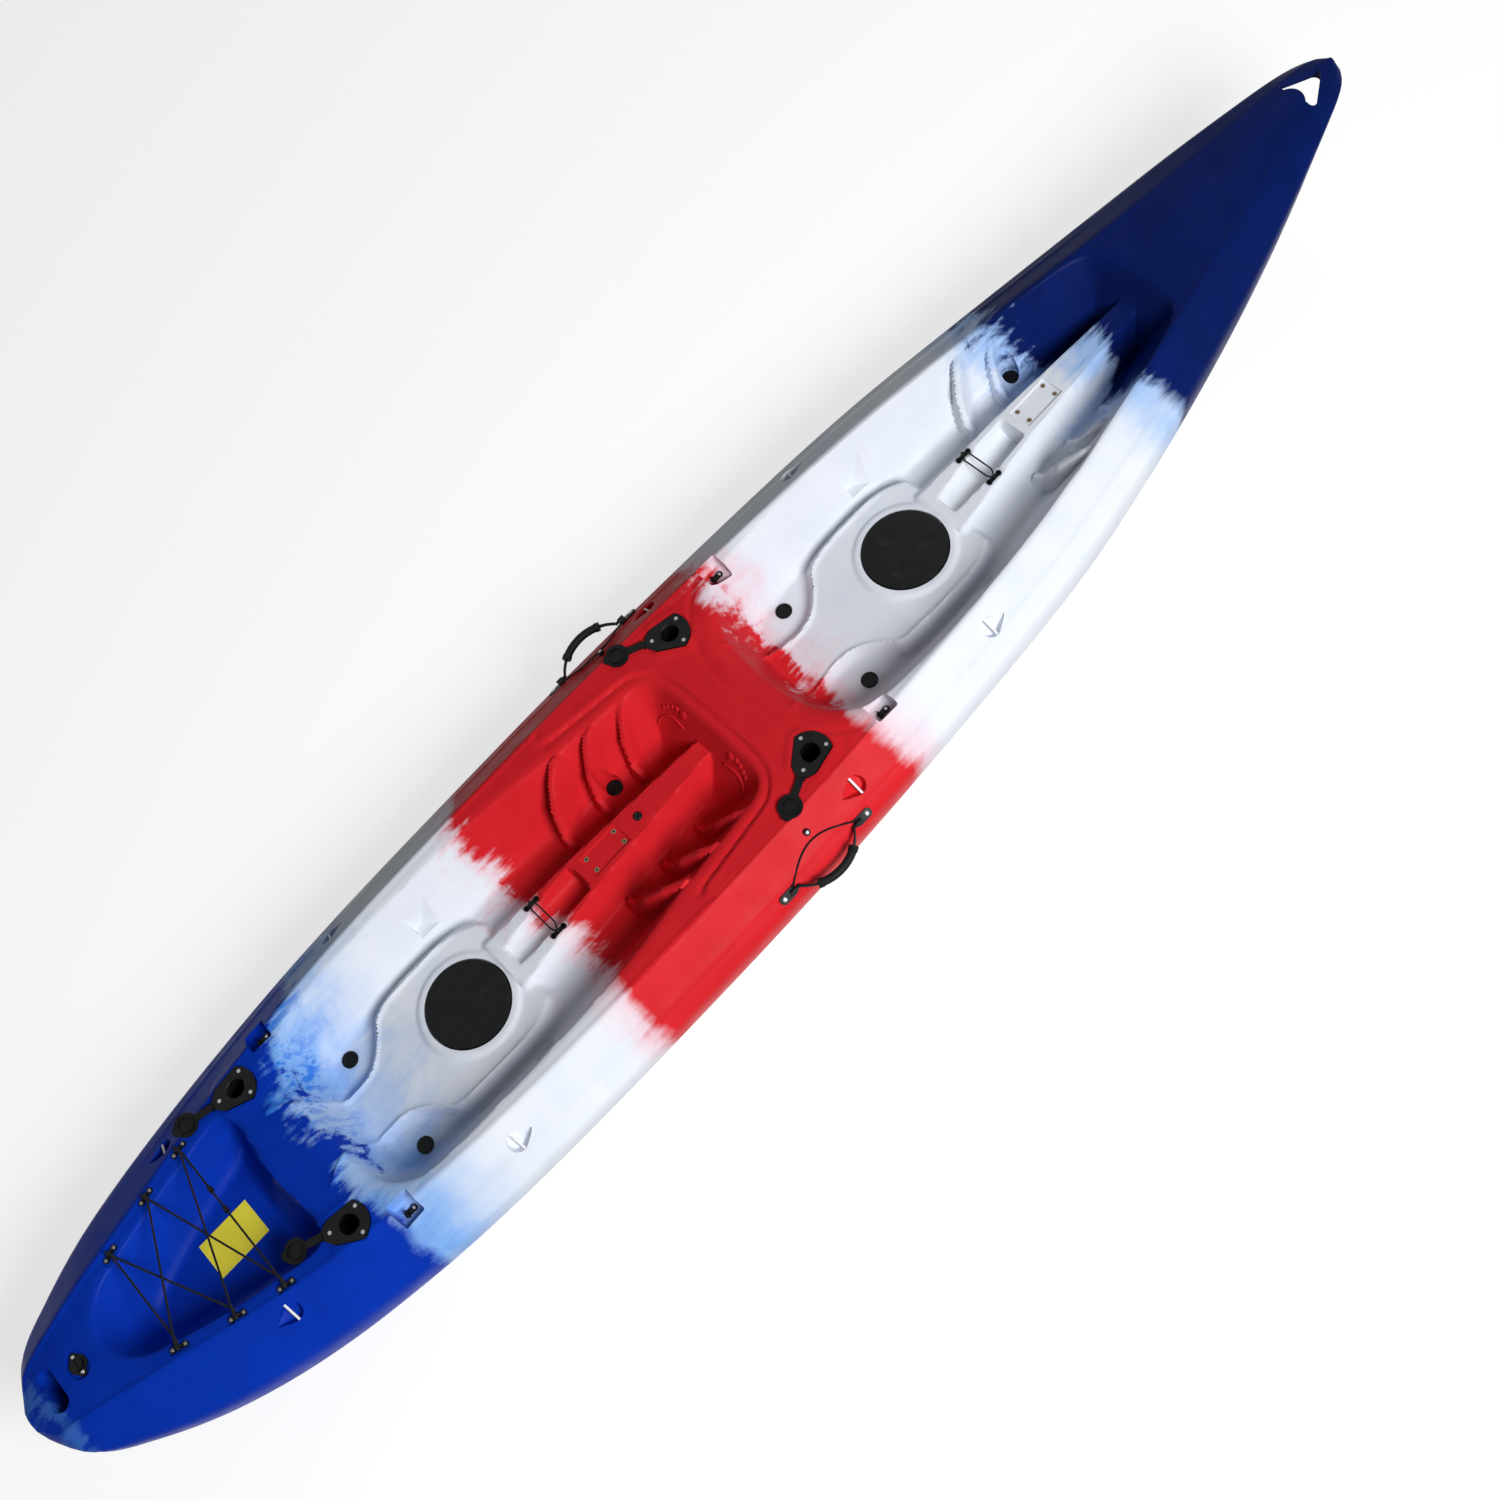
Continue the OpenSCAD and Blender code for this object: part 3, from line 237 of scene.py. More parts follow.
def shape_deck(x, y):
    """Height of the moulded deck over each point, in millimetres."""
    a = np.abs(y)
    beam = half_beam(x)
    ridge = ridge_z(x)
    slope_width = shoulder(x)
    edge = beam - slope_width
    # Level middle with a crown at both ends, and a shoulder with a fine bead along it
    lip = np.minimum(14, 0.15 * edge)
    crown = 9 * (1 - np.clip(a / edge, 0, 1) ** 2) * (ease(1460, 1640, x) + ease(-1935, -2010, x) * 0.6)
    top = ridge - 3 + 3 * ease(edge - lip, edge, a) + crown
    t = (a - edge) / slope_width
    bead = 2.6 * np.exp(-((t - 0.63) / 0.035) ** 2) * ease(-1750, -1450, x) * (1 - ease(1350, 1600, x))
    z = lower_of(top, ridge + (crease_z(x) - ridge) * t + bead, 7)

    rear = -outside(x, a, closed_outline(REAR_RIM))
    front = -outside(x, a, closed_outline(FRONT_RIM))
    tank = -outside(x, a, closed_outline(TANK_RIM))

    # Middle deck with an arm along each side of the rear footwell: a groove and a fine bead run round it,
    # and the strip between it and the rim of that footwell lies lower
    gap = straight([(-330, 34), (-70, 26), (-20, 18)], x)
    arms = lower_of(lower_of(x + 322, edge - a - 5, 30), -rear - gap, 24)
    arms = lower_of(lower_of(arms, -front - 42, 24), 235 - x, 30)
    strip = (1 - ease(-3, 11, arms)) * ease(-350, -322, x) * (1 - ease(0, 14, -rear - gap))
    outline = 0.9 * np.exp(-((arms - 8) / 6.5) ** 2) - 2.6 * np.exp(-((arms + 3) / 6) ** 2)
    z = z - 4.5 * strip + outline * (a < edge)

    # The deck stands a little higher round each rod holder, so that its flange lies in a shallow recess
    for rod_x, rod_y, _, turn in ROD_AT:
        near = np.hypot(x - rod_x, y - rod_y) < 110
        lean = math.radians(turn)
        u = (x[near] - rod_x) * math.cos(lean) + (y[near] - rod_y) * math.sin(lean)
        v = (y[near] - rod_y) * math.cos(lean) - (x[near] - rod_x) * math.sin(lean)
        gap = outside(u, v, np.array(rod_outline()))
        z[near] = z[near] + 3.2 * (1 - ease(8, 28, gap)) * (1 - ease(46, 58, u))

    # The wells, whose walls are steeper by the seats, and what stands in them
    rear_steep = straight([(-1320, 2.0), (-1150, 1.75), (-260, 1.75), (-110, 1.45), (-20, 1.4)], x)
    front_steep = straight([(100, 2.0), (270, 1.75), (1180, 1.75), (1330, 1.6), (1460, 1.5)], x)
    z = sink(z, rear, SEAT_Z, rear_steep, straight([(-1290, 36), (-1180, 4)], x), 26)
    z = sink(z, front, SEAT_Z, front_steep, straight([(130, 36), (240, 4)], x), 26)
    z = sink(z, tank, TANK_Z, straight([(-1900, 1.7), (-1470, 1.9), (-1410, 3.2)], x), 3, 30)

    for hatch, nose in zip(HATCH_X, NOSE_X):
        z = raise_seat(z, x - hatch, a)
        z = raise_console(z, x - hatch, a, nose - hatch)
    inside = np.maximum(rear, front)
    for brace in STEP_X:
        near = (np.abs(x - brace - 40) < 150) & (a > 60)
        fin = step_brace(x[near] - brace, a[near]) - 3.5 * np.maximum(0, 10 - inside[near])
        z[near] = higher_of(z[near], fin, 7)
    return z


def raise_seat(z, c, a):
    """Raised middle of a seat with its two beads, and the lip round the hatch."""
    width = curve(RAISED_WIDTH, c)
    level = curve(RAISED_LEVEL, c)
    pad = lower_of(level, level - (a - width) * 1.5, 8)
    pad = pad - 2 * np.maximum(0, c - 140) - 1.5 * np.maximum(0, -430 - c)
    z = higher_of(z, pad, 10)
    bead = np.exp(-((a - width + 4) / 6) ** 2) * ease(-500, -440, c) * (1 - ease(20, 110, c))
    z = z + 6 * bead
    reach = np.hypot(c, a)
    lip = lower_of(HATCH_Z + 0.5 + 0 * c, HATCH_Z + 0.5 - (reach - 124) * 1.3, 4)
    return higher_of(z, lip, 5)


def raise_console(z, c, a, nose):
    """Console ridge from the hatch to the front of the footwell, with its trough and level places."""
    foot, brow = CONSOLE_SLOPE
    top = straight([(foot, 204), (brow, CONSOLE_Z), (nose, CONSOLE_Z + 8)], c)
    width = straight([(foot, 74), (brow, 52), (nose, 24)], c)
    steep = straight([(foot, 1.7), (brow, 2.7), (nose, 3.6)], c)
    ridge = lower_of(top, top - (a - width) * steep, 7)
    ridge = ridge - 2.2 * np.maximum(0, 120 - c) - 2.6 * np.maximum(0, c - nose)
    z = higher_of(z, ridge, 22)
    trough = TROUGH_Z - np.sqrt(np.maximum(TROUGH_R ** 2 - a * a, 0)) + 8 * np.maximum(0, a - 39)
    trough = trough + 7 * np.maximum(0, 146 - c) + 7 * np.maximum(0, c - 380)
    z = lower_of(z, trough, 2.5)
    # Level seats of the two cord eyes
    level = CONSOLE_EYE_Z + 6 * np.maximum(0, np.abs(c - CONSOLE_EYE[0]) - 27) + 6 * np.maximum(0, 40 - a)
    return np.minimum(z, level + 200 * (a > 120))


def step_brace(c, a):
    """Curved fin of a foot brace: its crest falls from rim to floor, and it is steep on the heel's side."""
    best = np.full(c.shape, 1e9)
    height = np.zeros(c.shape)
    for (ax, ay, az), (bx, by, bz) in zip(STEP_CREST[:-1], STEP_CREST[1:]):
        ex = bx - ax
        ey = by - ay
        t = np.clip(((c - ax) * ex + (a - ay) * ey) / (ex * ex + ey * ey), 0, 1)
        gap = np.hypot(c - ax - t * ex, a - ay - t * ey)
        height = np.where(gap < best, az + (bz - az) * t, height)
        best = np.minimum(best, gap)
    ahead = c > straight([(y, x) for x, y, _ in reversed(STEP_CREST)], a)
    fall = np.where(ahead, straight([(165, 4.2), (215, 1.2)], a), 4.2)
    return height - fall * np.maximum(0, best - 8)


def bottom_half(x):
    """Port half of the bottom at each station, from below the crease to the keel."""
    b = half_beam(x)
    c = crease_z(x)
    k = np.maximum(0, curve(KEEL_LINE, x)) * c
    v = np.clip(curve(VEE_LINE, x), 0, 1)
    h = c - k
    y = [b, 0.965 * b, 0.91 * b, 0.80 * b, 0.58 * b, 0.46 * b, 0.33 * b, np.minimum(28, 0.25 * b), 0 * b]
    z = [c, k + (0.70 + 0.17 * v) * h, k + (0.40 + 0.33 * v) * h, k + (0.17 + 0.39 * v) * h,
         k + 0.38 * h * v, k + 0.30 * h * v, k + 14 + (0.17 * h - 14) * v, k, k]
    fine = np.linspace(0, 8, 17)
    ys, zs = [np.stack([curve(list(enumerate(row)), fine) for row in np.array(part).T]) for part in (y, z)]
    return np.maximum(ys, 0)[:, 1:], np.maximum(zs, k[:, None])[:, 1:]


def grid_faces(grid):
    """Four-sided faces between the points of a grid."""
    corners = [grid[:-1, :-1], grid[1:, :-1], grid[1:, 1:], grid[:-1, 1:]]
    return np.stack(corners, 2).reshape(-1, 4).tolist()


def hull_points_and_faces(stations, inner, outer):
    """Closed skin of the hull: the shaped deck, and the bottom below its edge. One line of points runs
    along each ridge: inner gives shares of the deck's width, and outer shares of the shoulder's."""
    width = shoulder(stations)[:, None]
    edge = half_beam(stations)[:, None] - width
    half = np.concatenate([edge * inner[None, :], edge + width * outer[None, :]], 1)
    y = np.concatenate([-half[:, :0:-1], half], 1)
    x = np.repeat(stations[:, None], y.shape[1], 1)
    z = shape_deck(x, y)
    rim = crease_z(stations)
    z[:, 0] = rim
    z[:, -1] = rim
    rows, wide = y.shape
    deck = np.arange(rows * wide).reshape(rows, wide)
    kept = np.arange(0, rows, 2)
    ys, zs = bottom_half(stations[kept])
    xs = np.repeat(stations[kept][:, None], ys.shape[1], 1)
    port = np.stack([xs, ys, zs], 2)
    starboard = np.stack([xs, -ys, zs], 2)[:, :-1][:, ::-1]
    below = np.concatenate([port, starboard], 1)
    belly = rows * wide + np.arange(below.shape[0] * below.shape[1]).reshape(below.shape[:2])
    faces = grid_faces(deck) + grid_faces(belly)
    # The bottom has a point under every second point of the deck's edge
    for j, i in enumerate(kept[:-1]):
        faces.append([deck[i, -1], deck[i + 1, -1], deck[i + 2, -1], belly[j + 1, 0], belly[j, 0]])
        faces.append([belly[j, -1], belly[j + 1, -1], deck[i + 2, 0], deck[i + 1, 0], deck[i, 0]])
    faces.append(deck[0].tolist() + belly[0].tolist())
    faces.append((deck[-1].tolist() + belly[-1].tolist())[::-1])
    points = np.concatenate([np.stack([x, y, z], 2).reshape(-1, 3), below.reshape(-1, 3)])
    return points / 1000, faces


def new_piece(name, points, faces):
    """New mesh object at the origin, with its place in its mesh."""
    mesh = bpy.data.meshes.new(name)
    mesh.from_pydata([tuple(map(float, p)) for p in points], [], [[int(i) for i in f] for f in faces])
    piece = bpy.data.objects.new(name, mesh)
    bpy.context.scene.collection.objects.link(piece)
    return piece


def pick(piece):
    """Makes one piece the only selected and active object."""
    bpy.ops.object.select_all(action="DESELECT")
    piece.select_set(True)
    bpy.context.view_layer.objects.active = piece


def place(piece, matrix):
    """Puts a new primitive in its place, with the place in its mesh."""
    piece.data.transform(matrix)
    piece.location = (0, 0, 0)
    piece.rotation_euler = (0, 0, 0)
    piece.scale = (1, 1, 1)


def edit_all(tool, **settings):
    """Runs one mesh tool on the whole of the active piece."""
    bpy.ops.object.mode_set(mode="EDIT")
    bpy.ops.mesh.select_all(action="SELECT")
    tool(**settings)
    bpy.ops.object.mode_set(mode="OBJECT")


def cut_round(radius, low, high, matrix, sides=48):
    """Round cutter along Z of its own frame; sizes in millimetres."""
    bpy.ops.object.select_all(action="DESELECT")
    bpy.ops.mesh.primitive_cylinder_add(vertices=sides, radius=radius / 1000, depth=(high - low) / 1000)
    cutter = bpy.context.active_object
    place(cutter, matrix @ Matrix.Translation((0, 0, (low + high) / 2000)))
    return cutter


def cut_box(size, middle, matrix, round_over=3):
    """Box cutter with rounded edges; sizes in millimetres."""
    bpy.ops.object.select_all(action="DESELECT")
    bpy.ops.mesh.primitive_cube_add(size=1)
    cutter = bpy.context.active_object
    cutter.data.transform(Matrix.Diagonal([s / 1000 for s in size] + [1]))
    edit_all(bpy.ops.mesh.bevel, offset=round_over / 1000, segments=2)
    place(cutter, matrix @ Matrix.Translation([m / 1000 for m in middle]))
    return cutter


def cut_hull(points, matrix):
    """Cutter wrapped round points given in millimetres."""
    cutter = new_piece("cutter", np.array(points) / 1000, [])
    pick(cutter)
    edit_all(bpy.ops.mesh.convex_hull)
    place(cutter, matrix)
    return cutter


def cut_outline(outline, low, high):
    """Upright cutter with a closed outline; sizes in millimetres."""
    n = len(outline)
    points = [(x / 1000, y / 1000, z / 1000) for z in (low, high) for x, y in outline]
    faces = [[i, (i + 1) % n, n + (i + 1) % n, n + i] for i in range(n)]
    faces += [list(range(n))[::-1], list(range(n, 2 * n))]
    return new_piece("cutter", points, faces)


def ring(radius, z, middle=(0, 0), sides=24):
    """Points of a level circle, in millimetres."""
    turn = [2 * math.pi * k / sides for k in range(sides)]
    return [(middle[0] + radius * math.cos(t), middle[1] + radius * math.sin(t), z) for t in turn]


def shift(x, y, z):
    return Matrix.Translation((x / 1000, y / 1000, z / 1000))


def on_shoulder(x, t, side):
    """Frame on the sloping shoulder: Z out of it, Y down it; t runs from the ridge to the crease."""
    at = np.array([float(x)])
    high = float(ridge_z(at)[0])
    low = float(crease_z(at)[0])
    width = float(shoulder(at)[0])
    y = float(half_beam(at)[0]) - width * (1 - t)
    lean = math.atan2(high - low, width)
    face = shift(x, y, high + (low - high) * t) @ Matrix.Rotation(-lean, 4, "X")
    return face if side > 0 else MIRROR @ face


def to_side(cutter, side):
    """Takes a cutter made for the port side to its own side."""
    if side < 0:
        place(cutter, MIRROR)
        cutter.data.flip_normals()
    return cutter


def hull_cutters():
    """Everything that is cut clean into the moulded hull: holes, slots, pockets and fitting seats."""
    for hatch in HATCH_X:
        here = shift(hatch, 0, 0)
        yield cut_round(HATCH_SEAT_R, HATCH_Z - 12, 280, here, 96)
        yield cut_round(HATCH_HOLE_R, 100, 220, here, 64)
        # Hollow below the hatch, and the level pad with its four inserts
        yield cut_box((700, 220, 105), (-40, 0, 82), here, 20)
        yield cut_box((118, 62, 60), (INSERT_X, 0, CONSOLE_Z + 28), here, 2)
        for ahead in (-INSERT_SPREAD[0], INSERT_SPREAD[0]):
            for aside in (-INSERT_SPREAD[1], INSERT_SPREAD[1]):
                yield cut_round(5.6, 220, 270, here @ shift(INSERT_X + ahead, aside, 0), 16)
    for x, y, z, turn in ROD_AT:
        spin = shift(x, y, z) @ Matrix.Rotation(math.radians(turn), 4, "Z")
        seat = [(sx, sy, sz) for sx in (45, 75) for sy in (-17, 17) for sz in (0, 60)]
        for corner in rod_outline():
            seat += ring(2.5, 0, corner, 8) + ring(2.5, 60, corner, 8)
        yield cut_hull(seat, spin)
        lean = Matrix.Rotation(math.radians(-ROD_LEAN if y > 0 else ROD_LEAN), 4, "X")
        yield cut_round(ROD_TUBE_R, -206, 30, shift(x, y, z) @ lean)
    for side in (1, -1):
        for x, y in SCUPPER_AT:
            yield cut_round(PLUG_TUBE_R, -20, 220, shift(x, side * y, 0))
            yield cut_round(PLUG_SEAT_R, SEAT_Z + 1, 330, shift(x, side * y, 0))
        for x, y, rise, turn in TANK_EYE:
            seat = shift(x, side * y, DECK + rise) @ Matrix.Rotation(math.radians(side * turn), 4, "Z")
            yield cut_box((52, 44, 60), (0, -11 * side, 30), seat, 2)
        for x, t, facing in TIE_AT:
            deep = (-3 * facing, 0)
            corner = (38 * facing, 0)
            cup = ring(19, -19, deep) + ring(27.5, 14, deep) + ring(3, -6, corner) + ring(3, 14, corner)
            yield to_side(cut_hull(cup, on_shoulder(x, t, 1)), side)
        for x, y in STRAP_AT:
            yield cut_box((60, 60, 160), (x, side * y, DECK - 43 + 80), Matrix.Identity(4), 5)
        for x, y in NOTCH_AT:
            corners = [(x + ahead, side * (y + out), z) for ahead, out, z in NOTCH_WEDGE]
            yield cut_hull(corners, Matrix.Identity(4))
        for x in ANCHOR_X:
            seat = on_shoulder(HANDLE_X, ANCHOR_T, 1) @ shift(x - HANDLE_X, 0, 0)
            yield to_side(cut_box((60, 29, 20), (0, 0, 7.5), seat, 1.5), side)
        yield to_side(cut_round(9.5, -1.5, 20, on_shoulder(*BUTTON_AT, 1), 24), side)
    yield cut_round(12.5, 239, 290, shift(GLAND_X, 0, 0), 24)
    yield cut_round(7, 215, 260, shift(GLAND_X, 0, 0), 24)
    drain = shift(DRAIN_AT[0], 0, DRAIN_AT[1])
    plate = [point for z in (0, 40) for y in (12, -12) for point in ring(24, z, (0, y))]
    yield cut_hull(plate, drain)
    yield cut_round(DRAIN_HOLE_R, -30, 20, drain)
    slot = [point for z in (-20, 460) for y in (34, -34) for point in ring(22, z, (0, y))]
    yield cut_hull(slot, shift(STERN_SLOT_X, 0, 0))
    # The bow's slot widens in two steps below the deck
    for grow, top in ((0, 460), (14, 352), (26, 341)):
        yield cut_outline(bow_slot_outline(grow), 0, top)


def bow_slot_outline(grow):
    """Grab slot of the bow: a triangle with the deck's rounded tongue left in its back edge."""
    def arc(middle, radius, start, end, parts):
        turn = np.radians(np.linspace(start, end, parts))
        return [(middle[0] + radius * math.cos(t), middle[1] + radius * math.sin(t)) for t in turn]

    spread = math.degrees(math.acos((27 - grow) / (42 - grow)))
    return (arc((2088, 0), 15 + grow, -49, 49, 9) + arc((2026, 46), 9 + grow, 49, 180, 8)
            + arc((1990, 0), 42 - grow, spread, -spread, 15) + arc((2026, -46), 9 + grow, -180, -49, 8))


def hull_stations(spacing):
    """Places of the hull's sections in millimetres, always an odd number, and closest by the cockpits."""
    stations = np.concatenate([np.linspace(-2150, -1960, 24, endpoint=False),
                               np.linspace(-1960, -1340, int(620 / (1.2 * spacing)), endpoint=False),
                               np.linspace(-1340, 1470, int(2810 / spacing), endpoint=False),
                               np.linspace(1470, 2020, int(550 / (2.2 * spacing)), endpoint=False),
                               np.linspace(2020, 2150, 19)])
    if len(stations) % 2 == 0:
        stations = np.concatenate([stations[:-1], [2145.0], stations[-1:]])
    return stations


def soften_edge(hull, rows, wide):
    """Turns the hull's faces outward and rounds the edge of its deck, a grid of rows that are so wide."""
    pick(hull)
    edit_all(bpy.ops.mesh.normals_make_consistent, inside=False)
    bpy.ops.object.mode_set(mode="EDIT")
    bpy.ops.mesh.select_all(action="DESELECT")
    bpy.ops.object.mode_set(mode="OBJECT")
    vertices = hull.data.vertices
    places = np.zeros((len(vertices), 3))
    vertices.foreach_get("co", places.reshape(-1))
    x, y, z = 1000 * places.T
    vertices.foreach_set("select", (half_beam(x) - np.abs(y) < EDGE_IN) & (z - crease_z(x) > -EDGE_BELOW))
    bpy.ops.object.mode_set(mode="EDIT")
    bpy.ops.mesh.vertices_smooth(factor=0.5, repeat=8)
    bpy.ops.object.mode_set(mode="OBJECT")
    # Every second point along the deck's edge has no point of the bottom below it, so it is put back
    # halfway between its neighbours
    vertices.foreach_get("co", places.reshape(-1))
    deck = places[:rows * wide].reshape(rows, wide, 3)
    for line in (0, 1, 2, -3, -2, -1):
        deck[1:-1:2, line] = (deck[:-2:2, line] + deck[2::2, line]) / 2
    vertices.foreach_set("co", places.reshape(-1))


def cut_away(hull, cutters):
    """Takes all the cutters out of the hull at once, and removes them."""
    tools = bpy.data.collections.new("hull_cutters")
    bpy.context.scene.collection.children.link(tools)
    for cutter in cutters:
        for home in list(cutter.users_collection):
            home.objects.unlink(cutter)
        tools.objects.link(cutter)
    pick(hull)
    cut = hull.modifiers.new("cut", "BOOLEAN")
    cut.operation = "DIFFERENCE"
    cut.operand_type = "COLLECTION"
    cut.collection = tools
    cut.solver = "MANIFOLD"
    bpy.ops.object.modifier_apply(modifier="cut")
    for cutter in cutters:
        bpy.data.objects.remove(cutter)
    bpy.data.collections.remove(tools)
    if len(hull.data.polygons) < FEWEST_FACES:
        raise RuntimeError("the hull was not cut: its mesh is not closed")


def rod_outline():
    """Shield-shaped flange of a rod holder, with its hinge end along X, in millimetres."""
    turn = np.radians(np.linspace(-57, 57, 13))
    wide_end = [(5 - 55 * math.cos(t), 55 * math.sin(t)) for t in turn]
    return wide_end + [(43, 30), (58, 17), (62, 13), (62, -13), (58, -17), (43, -30)]


# Settings that many nodes share
SMOOTH = {"interpolation_type": "SMOOTHSTEP"}
IN_COLOUR = {"data_type": "RGBA"}


def add(tree, kind, settings=None, inputs=None):
    """Adds a node with its settings, and sets or links its inputs."""
    node = tree.nodes.new(kind)
    for key, value in (settings or {}).items():
        setattr(node, key, value)
    for key, value in (inputs or {}).items():
        if isinstance(value, bpy.types.NodeSocket):
            tree.links.new(value, node.inputs[key])
        else:
            node.inputs[key].default_value = value
    return node


def start_material(name, values):
    """New material with one Principled shader, whose plain values are set on its own sockets."""
    material = bpy.data.materials.new(name)
    material.use_nodes = True
    tree = material.node_tree
    shader = tree.nodes["Principled BSDF"]
    for key, value in values.items():
        shader.inputs[key].default_value = value
    return material, tree, shader


def rgba(value):
    return (value[0], value[1], value[2], 1)


def seen_straight(tree):
    """1 for rays from the camera, through something clear or in a reflection, and 0 for all others."""
    path = add(tree, "ShaderNodeLightPath").outputs
    clear = add(tree, "ShaderNodeMath", {"operation": "MAXIMUM"},
                {0: path["Is Camera Ray"], 1: path["Is Transmission Ray"]})
    return add(tree, "ShaderNodeMath", {"operation": "MAXIMUM"},
               {0: clear.outputs[0], 1: path["Is Glossy Ray"]}).outputs[0]


def hull_material(look):
    """Rotomoulded polyethylene in three colours."""
    # Satin plastic with a faint orange-peel skin; the powders run into each other in ragged, brushed
    # edges with thin washes of the darker colour over the white
    material, tree, shader = start_material("rotomoulded_polyethylene",
                                            {"IOR": 1.51, "Specular IOR Level": 0.03})
    where = add(tree, "ShaderNodeTexCoord").outputs["Object"]
    axes = add(tree, "ShaderNodeSeparateXYZ", None, {0: where})
    across = axes.outputs["Y"]
    # Clouds of about 160 mm, and bristle marks about 200 mm long and 18 mm wide along the hull
    cloud = add(tree, "ShaderNodeTexNoise", None,
                {"Vector": where, "Scale": 6.2, "Detail": 6.0, "Roughness": 0.62, "Distortion": 0.8})
    stretch = add(tree, "ShaderNodeMapping", None,
                  {"Vector": where, "Rotation": (0, 0, 0.25), "Scale": (5, 55, 30)})
    bristle = add(tree, "ShaderNodeTexNoise", None,
                  {"Vector": stretch.outputs[0], "Scale": 1.0, "Detail": 4.0, "Roughness": 0.6})
    # The two patterns would add 0.23 m on average, which is taken off first
    wander = add(tree, "ShaderNodeMath", {"operation": "MULTIPLY_ADD"},
                 {0: cloud.outputs["Fac"], 1: 0.30, 2: -0.23})
    wander = add(tree, "ShaderNodeMath", {"operation": "MULTIPLY_ADD"},
                 {0: bristle.outputs["Fac"], 1: 0.16, 2: wander.outputs[0]})
    # The edges are cleaner down the starboard side
    ragged = add(tree, "ShaderNodeMapRange", SMOOTH, {"Value": across, 1: -0.30, 2: -0.12, 3: 0.35, 4: 1.0})
    along = add(tree, "ShaderNodeMath", {"operation": "MULTIPLY_ADD"},
                {0: wander.outputs[0], 1: ragged.outputs[0], 2: axes.outputs["X"]}).outputs[0]
    port_reach = add(tree, "ShaderNodeMapRange", SMOOTH,
                     {"Value": across, 1: 0.20, 2: 0.36, 3: 0.0, 4: -0.17})
    stern_run = add(tree, "ShaderNodeMath", {"operation": "ADD"},
                    {0: along, 1: port_reach.outputs[0]}).outputs[0]
    bow_run = add(tree, "ShaderNodeMath", {"operation": "MULTIPLY_ADD"}, {0: across, 1: 0.20, 2: along})
    # The white runs further forward along the console
    aside = add(tree, "ShaderNodeMath", {"operation": "ABSOLUTE"}, {0: across})
    console_reach = add(tree, "ShaderNodeMapRange", SMOOTH,
                        {"Value": aside.outputs[0], 1: 0.045, 2: 0.085, 3: -0.10, 4: 0.0})
    bow_run = add(tree, "ShaderNodeMath", {"operation": "ADD"},
                  {0: bow_run.outputs[0], 1: console_reach.outputs[0]}).outputs[0]
    patch = add(tree, "ShaderNodeTexNoise", None,
                {"Vector": where, "Scale": 7.5, "Detail": 3.0, "Roughness": 0.5, "Distortion": 0.5})
    # Shares that go smoothly from one value to another, most of them between two places in metres
    share = {}
    for name, value, low, high, start, end in (
            ("stern_edge", stern_run, -1.305, -1.262, 0.0, 1.0),
            ("red_start", along, -0.635, -0.575, 0.0, 1.0),
            ("red_end", along, 0.185, 0.245, 0.0, 1.0),
            ("bow_edge", bow_run, 1.165, 1.22, 0.0, 1.0),
            # Thin blue over the white, patchy, for about 300 mm past the stern colour and 120 mm at the bow
            ("wash", stern_run, -1.29, -0.99, 1.0, 0.0),
            ("wash_bow", bow_run, 1.03, 1.18, 0.0, 0.75),
            ("wash_patch", patch.outputs["Fac"], 0.36, 0.60, 0.68, 1.0),
            # Bright strokes of the bristles, close to the stern colour and mostly to port
            ("stroke", bristle.outputs["Fac"], 0.46, 0.60, 0.0, 1.0),
            ("stroke_end", stern_run, -1.26, -1.13, 1.0, 0.0),
            ("stroke_side", across, -0.10, 0.10, 0.25, 0.9),
            # Thin red over the white next to both ends of the red
            ("blush", along, -0.70, -0.61, 0.0, 0.42),
            ("blush_bow", along, 0.22, 0.34, 0.42, 0.0),
            # Paler blue at the very end of the stern, a painted highlight where the light catches the
            # stern's grab bar
            ("tip", along, -2.145, -2.09, 0.8, 0.0)):
        share[name] = add(tree, "ShaderNodeMapRange", SMOOTH,
                          {"Value": value, 1: low, 2: high, 3: start, 4: end}).outputs[0]
    for name, operation, other in (
            ("wash", "ADD", share["wash_bow"]), ("wash", "MULTIPLY", share["wash_patch"]),
            ("stroke", "MULTIPLY", share["stroke_end"]), ("stroke", "MULTIPLY", share["stroke_side"]),
            ("blush", "MULTIPLY", share["blush_bow"]), ("blush", "MULTIPLY", 2.0)):
        share[name] = add(tree, "ShaderNodeMath", {"operation": operation},
                          {0: share[name], 1: other}).outputs[0]
    # Each colour has a faint mottle about 90 mm across; on the white it is grey-blue, partly a painted
    # reflection of the sky
    mottle = add(tree, "ShaderNodeTexNoise", None, {"Vector": where, "Scale": 11.0, "Detail": 4.0})
    white, stern, red, bow = [
        add(tree, "ShaderNodeMix", IN_COLOUR,
            {0: mottle.outputs["Fac"], 6: rgba(main), 7: rgba(shade)}).outputs[2]
        for main, shade in ((look.white, look.white_shade), (look.stern_blue, look.stern_shade),
                            (look.red, look.red_shade), (look.bow_blue_painted_shade, look.bow_shade))]
    for name, tint in (("wash", look.blue_wash), ("stroke", look.blue_stroke), ("blush", look.red_wash)):
        white = add(tree, "ShaderNodeMix", IN_COLOUR, {0: share[name], 6: white, 7: rgba(tint)}).outputs[2]
    paint = stern
    for name, tint in (("tip", rgba(look.stern_painted_highlight)), ("stern_edge", white), ("red_start", red),
                       ("red_end", white), ("bow_edge", bow)):
        paint = add(tree, "ShaderNodeMix", IN_COLOUR, {0: share[name], 6: paint, 7: tint}).outputs[2]
    tree.links.new(paint, shader.inputs["Base Color"])
